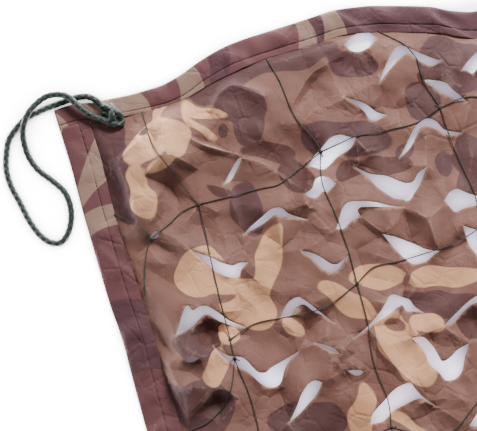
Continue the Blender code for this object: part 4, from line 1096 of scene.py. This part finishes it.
def makeBinding(node, upright, inward):  # one folded strip, and its edge for the stitches
    edge = stripEdges(node, upright, inward)
    seed = sum(map(ord, node))
    flatLine = np.column_stack([edge[:, 0], np.zeros(len(edge))])
    wave = ripple(flatLine, seed, binding["waveLength"]) * binding["wave"]
    fromFold, part, fromEdge = binding["beneath"]
    rows = []  # along, inset, height, place of the fold, share of the width, 1 on the face and 0 beneath
    for (along, out, into, lift), swell in zip(edge, wave):
        width = abs(into - out)
        for inset, top in stripSection(width):
            relief = tapeRelief(along, inset, inset / width, swell, seed) if inset else 0.0
            rows.append((along, inset, lift + top + relief, out, inset / width, 1))
        low = lift + binding["lift"]
        for inset, height in ((width - fromEdge, lift + binding["edgeLift"]), (width * part, low),
                              (fromFold, low)):
            rows.append((along, inset, max(height, binding["lift"]), out, inset / width, 0))
    along, inset, height, out, share, onFace = np.array(rows).T
    spots = np.column_stack([along, inset])
    folds = sum(lineForm(spots, *fold) for fold in tapeFolds[node])
    height = height + folds * onFace * np.clip(inset / binding["foldSettle"], 0, 1)
    across = out + inward * inset
    places = np.column_stack([across, along, height] if upright else [along, across, height])
    faces = ringFaces(len(edge), len(rows) // len(edge), flip=(inward > 0) != upright)
    piece = newPiece("folded_" + node, places, faces, bindingFinish, "binding_cloth")
    for dye in printAndPaintedLight["order"]:
        addReading(piece, dye, bandDepth(node, dye, along, share))
    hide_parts(node)
    return edge


def makeStitches(strips):  # a row of short stitches down each groove, in near-black thread that is partly painted shade for the groove's shadow
    sides, groove = binding["threadSides"], binding["thickness"] - binding["stitchDepth"]
    low, bow = binding["stitchRise"]
    parts = []
    for edge, (_, upright, inward) in zip(strips, stripSides):
        first, last = edge[0, 0] + binding["firstStitch"], edge[-1, 0] - binding["lastStitch"]
        for start in np.arange(first, last, binding["stitchLength"] + binding["stitchGap"]):
            points = []
            for share in binding["stitchRings"]:
                along = start + share * binding["stitchLength"]
                out, into, lift = (np.interp(along, edge[:, 0], edge[:, column]) for column in (1, 2, 3))
                side = out + inward * min(binding["stitchIn"], abs(into - out) - binding["leastInside"])
                height = lift + groove + low + bow * math.sin(math.pi * share)
                radius = binding["threadWidth"] / 2 * (binding["threadEnd"] if share in (0, 1) else 1)
                for turn in range(sides):
                    angle = 2 * math.pi * turn / sides
                    across, rise = radius * math.cos(angle), radius * math.sin(angle)
                    points.append((side + across, along, height + rise) if upright
                                  else (along, side - across, height + rise))
            parts.append((points, ringFaces(len(binding["stitchRings"]), sides)))
    newPiece("edge_stitching", *joinParts(parts), threadFinish, "twine")


# Twine net: two plies twisted together, knotted about every 100 mm
twine = {
    "radius": 0.29, "plyOffset": 0.24, "twist": 3.2, "step": 0.85, "sides": 6, "clear": 0.15, "passes": 60,
    "sewnIn": 8.0, "tieFrom": 8,  # the last eighth of a strand comes to the level of its knot
    "knotRadius": (1.0, 1.0, 0.8), "knotTube": 0.5, "knotSides": 6, "knotRise": 0.2,
    "knotPlaces": 12, "knotTilts": (0.4, 1.3, 2.2), "knotSpin": 1.1,
    "tailLength": 4.5, "tailStart": 0.4, "tailStep": 0.6, "tailSides": 5, "tailTurns": (0.7, 2.9),
    "tailDroop": -0.06, "tailBend": 0.05,
}
twineKnots = {  # across, up; a place named for an edge is where a strand goes under the binding
    "a": (85, -101), "b": (184, -89), "c": (278, -83), "cRight": (382, -90),
    "d": (79, -204), "e": (181, -191), "f": (283, -176), "fRight": (386, -186),
    "fork": (43, -116), "split": (78, -219), "g": (175, -300), "gLeft": (74, -304),
    "gRight": (280, -288), "gFar": (385, -296),
    "top1": (64, -28), "top2": (165, -12), "top3": (256, -19), "top4": (376, -46),
    "left1": (28, -95), "left2": (29, -148), "left3": (31, -260), "left4": (31, -306),
    "right1": (461, -94), "right2": (460, -188), "right3": (460, -292),
    "bottom1": (78, -394), "bottom2": (172, -392), "bottom3": (284, -393), "bottom4": (380, -395),
}
twineStrands = [  # the two knots of a strand and the places between them
    ("top1", "a", [(64, -41), (66, -55), (72, -70), (77, -84)]),
    ("top2", "b", [(169, -30), (171, -51), (174, -64), (180, -76)]),
    ("top3", "c", [(267, -31), (272, -42), (272, -54), (274, -68)]), ("top4", "cRight", [(379, -68)]),
    ("a", "b", [(104, -102), (132, -103), (146, -104), (162, -98)]),
    ("b", "c", [(210, -86), (236, -88), (258, -89)]), ("c", "cRight", [(299, -81), (322, -88), (352, -92)]),
    ("cRight", "right1", [(412, -86), (440, -90)]), ("a", "fork", [(71, -103), (60, -109)]),
    ("left1", "fork", [(38, -104)]), ("fork", "left2", [(38, -124), (33, -136)]),
    ("a", "d", [(84, -122), (82, -143), (80, -179)]), ("b", "e", [(178, -108), (180, -135), (182, -166)]),
    ("c", "f", [(279, -104), (282, -136), (284, -160)]), ("cRight", "fRight", [(380, -120), (384, -156)]),
    ("d", "e", [(100, -198), (125, -200), (154, -201)]),
    ("e", "f", [(196, -183), (216, -184), (237, -184), (265, -182)]),
    ("f", "fRight", [(312, -180), (350, -184)]), ("fRight", "right2", [(418, -190), (440, -187)]),
    ("d", "split", []), ("split", "left3", [(70, -238), (60, -250), (46, -258)]),
    ("split", "gLeft", [(81, -248), (80, -276)]), ("e", "g", [(180, -222), (176, -248), (178, -284)]),
    ("f", "gRight", [(281, -214), (285, -252)]), ("fRight", "gFar", [(388, -220), (384, -262)]),
    ("left4", "gLeft", [(50, -302)]), ("gLeft", "g", [(104, -306), (140, -302)]),
    ("g", "gRight", [(192, -309), (214, -316), (244, -298)]),
    ("gRight", "gFar", [(316, -290), (352, -297)]), ("gFar", "right3", [(420, -298)]),
    ("gLeft", "bottom1", [(73, -336), (78, -368)]), ("g", "bottom2", [(174, -332), (170, -364)]),
    ("gRight", "bottom3", [(282, -324), (286, -360)]), ("gFar", "bottom4", [(383, -330), (378, -366)]),
]


def pliesAlong(line):  # the middle lines of a strand's two plies
    ways = unit(np.gradient(line, axis=0))
    side = unit(np.cross(ways, (0, 0, 1.0)))
    rise = np.cross(side, ways)
    for start in (0, math.pi):
        angle = 2 * math.pi * runAlong(line) / twine["twist"] + start
        yield line + twine["plyOffset"] * (np.cos(angle)[:, None] * side + np.sin(angle)[:, None] * rise)


def sewnIn(flat, end):  # the strand goes on under the binding at this end
    away = flat[end] - flat[3 if end == 0 else -4]
    reaches = np.arange(twine["step"], twine["sewnIn"], twine["step"])
    added = flat[end] + away / np.linalg.norm(away) * reaches[:, None]
    return np.vstack([added[::-1], flat] if end == 0 else [flat, added])


def tautOver(ground):  # heights of a strand that is pulled over what lies under it
    height = ground.copy()
    for _ in range(twine["passes"]):
        height[1:-1] = np.maximum(ground[1:-1], (height[:-2] + height[2:]) / 2)
    return height


def knotParts(place, level):  # an overhand lump of crossing turns with two cut tails
    middle = np.array([*place, level + twine["knotRise"]])
    parts = []
    for turn in twine["tailTurns"]:
        way = np.array([math.cos(place[0] + turn), math.sin(place[0] + turn), twine["tailDroop"]])
        bent = np.array([-way[1], way[0], 0.0]) * twine["tailBend"]
        reach = np.arange(twine["tailStart"], twine["tailLength"], twine["tailStep"])[:, None]
        tail = middle + way * reach + bent * reach ** 2
        parts.append(tubeAlong(tail, twine["radius"], twine["tailSides"]))
    angle = np.linspace(0, 2 * math.pi, twine["knotPlaces"] + 1)[:-1]
    for turn, tilt in enumerate(twine["knotTilts"]):
        spin = twine["knotSpin"] * turn + place[0]
        x, y, z = np.cos(angle), np.sin(angle) * math.cos(tilt), np.sin(angle) * math.sin(tilt)
        x, y = x * math.cos(spin) - y * math.sin(spin), x * math.sin(spin) + y * math.cos(spin)
        ring = middle + np.column_stack([x, y, z]) * twine["knotRadius"]
        parts.append(tubeAlong(ring, twine["knotTube"], twine["knotSides"], True))
    return parts


def levelsOn(tree, places):  # height of the cloth's upper face at each place
    hits = [tree.ray_cast(Vector((*place, 100)), Vector((0, 0, -1)))[0] for place in places]
    return np.array([hit.z if hit else 0.0 for hit in hits])


def makeTwine(clothTree):  # strands from knot to knot, and then the knots
    tied = [name for name in twineKnots if not name.startswith(("top", "left", "right", "bottom"))]
    clear = twine["radius"] + twine["plyOffset"] + twine["clear"]
    lines, levels = [], {}
    for first, last, between in twineStrands:
        flat = smoothLine([twineKnots[first], *between, twineKnots[last]], twine["step"])
        for name, end in ((first, 0), (last, -1)):
            if name not in tied:
                flat = sewnIn(flat, end)
        height = tautOver(levelsOn(clothTree, flat) + clear)
        lines.append((first, last, np.column_stack([flat, height])))
        for name, level in ((first, height[0]), (last, height[-1])):
            levels[name] = max(levels.get(name, 0), level)
    parts = []
    for first, last, line in lines:
        share, late = np.linspace(0, 1, len(line)), twine["tieFrom"]
        for name, end, near in ((first, 0, 1 - share), (last, -1, share)):
            if name in tied:
                line[:, 2] += (levels[name] - line[end, 2]) * np.clip(near * late - (late - 1), 0, 1)
        parts += [tubeAlong(ply, twine["radius"], twine["sides"]) for ply in pliesAlong(line)]
    for name in tied:
        parts += knotParts(twineKnots[name], levels[name])
    piece = newPiece("knotted_twine", *joinParts(parts), twineFinish, "twine")
    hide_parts("twine_net")


# Corner tie: a braided cord whose two ends go into the knot at the corner
tieCord = {
    "diameter": 5.0, "sides": 24, "step": 0.55, "strands": 8, "pitch": 10.5, "relief": 0.42, "valley": 0.25,
}
cordRoute = [  # across, up, height of the cord's middle
    (37.2, -10.6, 6.0), (34, -5, 5.2), (28, 0.5, 3.6), (19, 2.5, 2.5), (8, 2, 2.5), (-4, 1, 2.5),
    (-11, 0, 2.5), (-21, -2, 2.5), (-30, -7, 2.5), (-38, -14, 2.5), (-42, -22, 2.5), (-46, -35, 2.5),
    (-46, -48, 2.5), (-43, -62, 2.5), (-40, -77, 2.5), (-35, -90, 2.5), (-29, -97, 2.5), (-22, -99, 2.5),
    (-15, -94, 2.5), (-9.5, -84, 2.5), (-7.5, -73, 2.5), (-9, -63, 2.5), (-15, -53, 2.5), (-23, -42, 2.5),
    (-27, -31, 2.7), (-27.5, -20, 3.8), (-26, -12, 5.8), (-23, -6, 7.6), (-18, 0.5, 8.1), (-10, 6, 6.8),
    (-1, 9, 6.4), (8, 7.5, 7.6), (14, 4, 8.3), (19, -4, 8.0), (24, -11, 7.0), (29, -16, 6.4),
    (34.2, -20, 6.6),
]
knotTurns = [  # the cord's turns in the knot
    [(33.5, -19.3, 6.6), (38, -23.2, 7.2), (43, -26.2, 6.8), (47, -26.2, 5.2), (47.5, -22.5, 4.2)],
    [(36, -9, 5.8), (39.5, -12, 7.8), (44, -15.8, 8.6), (47.3, -20, 7.6), (46.5, -24, 5.0)],
    [(36.5, -25, 4.4), (38.8, -22.6, 8.2), (41.6, -19.2, 10.2), (43.4, -14.8, 8.8), (43.2, -11, 5.0)],
    [(35, -14.5, 4.4), (39, -16.2, 6.2), (42.2, -20.6, 6.6), (44.6, -26.8, 4.6)],
]


def braidRadii(count):  # radius round and along a cord of crossing strands, and how raised each point is
    along = np.arange(count)[:, None] * tieCord["step"] / tieCord["pitch"] * 2
    around = np.arange(tieCord["sides"])[None] / tieCord["sides"] * tieCord["strands"] / 2
    first, second = (np.abs(np.sin(math.pi * (around + way * along))) for way in (1, -1))
    over = 0.5 + 0.5 * np.sin(2 * math.pi * along) * np.cos(2 * math.pi * around)
    raised = np.sqrt(first * over + second * (1 - over)) * np.sqrt(first * second + tieCord["valley"])
    raised /= raised.max()
    return tieCord["diameter"] / 2 - tieCord["relief"] * (1 - raised), raised


def braidedLength(route):  # middle line, tube and how raised each of its points is
    line = smoothLine(route, tieCord["step"])
    radii, raised = braidRadii(len(line))
    return line, tubeAlong(line, radii, tieCord["sides"]), raised.reshape(-1)


def makeTie():  # the loop and its knot
    line, tube, raised = braidedLength(cordRoute)
    cord = newPiece("braided_tie_cord", *tube, cordFinish, "cord")
    addReading(cord, "raised", raised)
    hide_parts("tie_cord")
    _, tubes, readings = zip(*map(braidedLength, knotTurns))
    knot = newPiece("corner_tie_knot", *joinParts(tubes), cordFinish, "cord")
    addReading(knot, "raised", np.concatenate(readings))
    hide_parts("tie_knot")


# Twine, thread and cord
fibres = {  # range: of the mottle, or of the braid's raised strands; relief: scale, detail, mm, strength
    "green_twine": {
        "roughness": 0.6, "sheen": 0.05, "mottle": (420, 3.0), "range": (0.3, 0.7),
        "colours": ((0.012, 0.018, 0.012), (0.040, 0.056, 0.036)), "relief": (2600, 2.0, 0.1, 0.4),
    },
    # the thread's near-black colour is partly the stitching's own and partly painted shade standing in for
    # the groove's shadow
    "dark_thread": {
        "roughness": 0.65, "sheen": 0.0, "mottle": (500, 2.0), "range": (0.3, 0.7),
        "colours": ((0.008, 0.005, 0.005), (0.022, 0.014, 0.013)), "relief": (2200, 2.0, 0.08, 0.3),
    },
    "green_braid": {
        "roughness": 0.62, "sheen": 0.06, "range": (0.25, 0.95),
        # from the hollows between strands, darker as painted shade, to the raised strands
        "colours": ((0.003, 0.008, 0.006), (0.016, 0.034, 0.026)), "relief": (1900, 3.0, 0.2, 0.5),
        "fleck": (760, 2.5), "fleckRange": (0.50, 0.60), "fleckShare": (0.55, 0.95, 0.0, 0.75),
        "fleckColour": (0.13, 0.17, 0.145),
    },
}


def fibre(name):  # finish of a twine, a thread or a braid
    look = fibres[name]
    finish = Finish(name, look["roughness"], look["sheen"])
    # for the braid the colour follows how raised each point is: painted shade in the hollows between strands
    shade = finish.mottle(*look["mottle"]) if "mottle" in look else finish.reading("raised")
    surface = finish.blend(finish.ramp(shade, *look["range"]), *look["colours"])
    if "fleck" in look:  # lighter flecks on the braid's raised strands
        fleck = finish.ramp(finish.mottle(*look["fleck"]), *look["fleckRange"])
        share = finish.maths("MULTIPLY", fleck, finish.ramp(shade, *look["fleckShare"]))
        surface = finish.blend(share, surface, look["fleckColour"])
    finish.colour(surface)
    scale, detail, depth, strength = look["relief"]
    finish.bump((finish.mottle(scale, detail), depth, strength))
    return finish.material


leafFinish = printedCloth("printed_leaf_cloth", printAndPaintedLight, True)
bindingFinish = printedCloth("printed_binding", {**printAndPaintedLight, **bindingDyes}, False)
twineFinish, threadFinish, cordFinish = map(fibre, ("green_twine", "dark_thread", "green_braid"))

makeLights()
makeTable()
print("studio set")
makeTie()
cloth, clothTree = makeLeafCloth()
makeStitches([makeBinding(*side) for side in stripSides])
print("bindings sewn on")
makeTwine(clothTree)
print("twine laid")
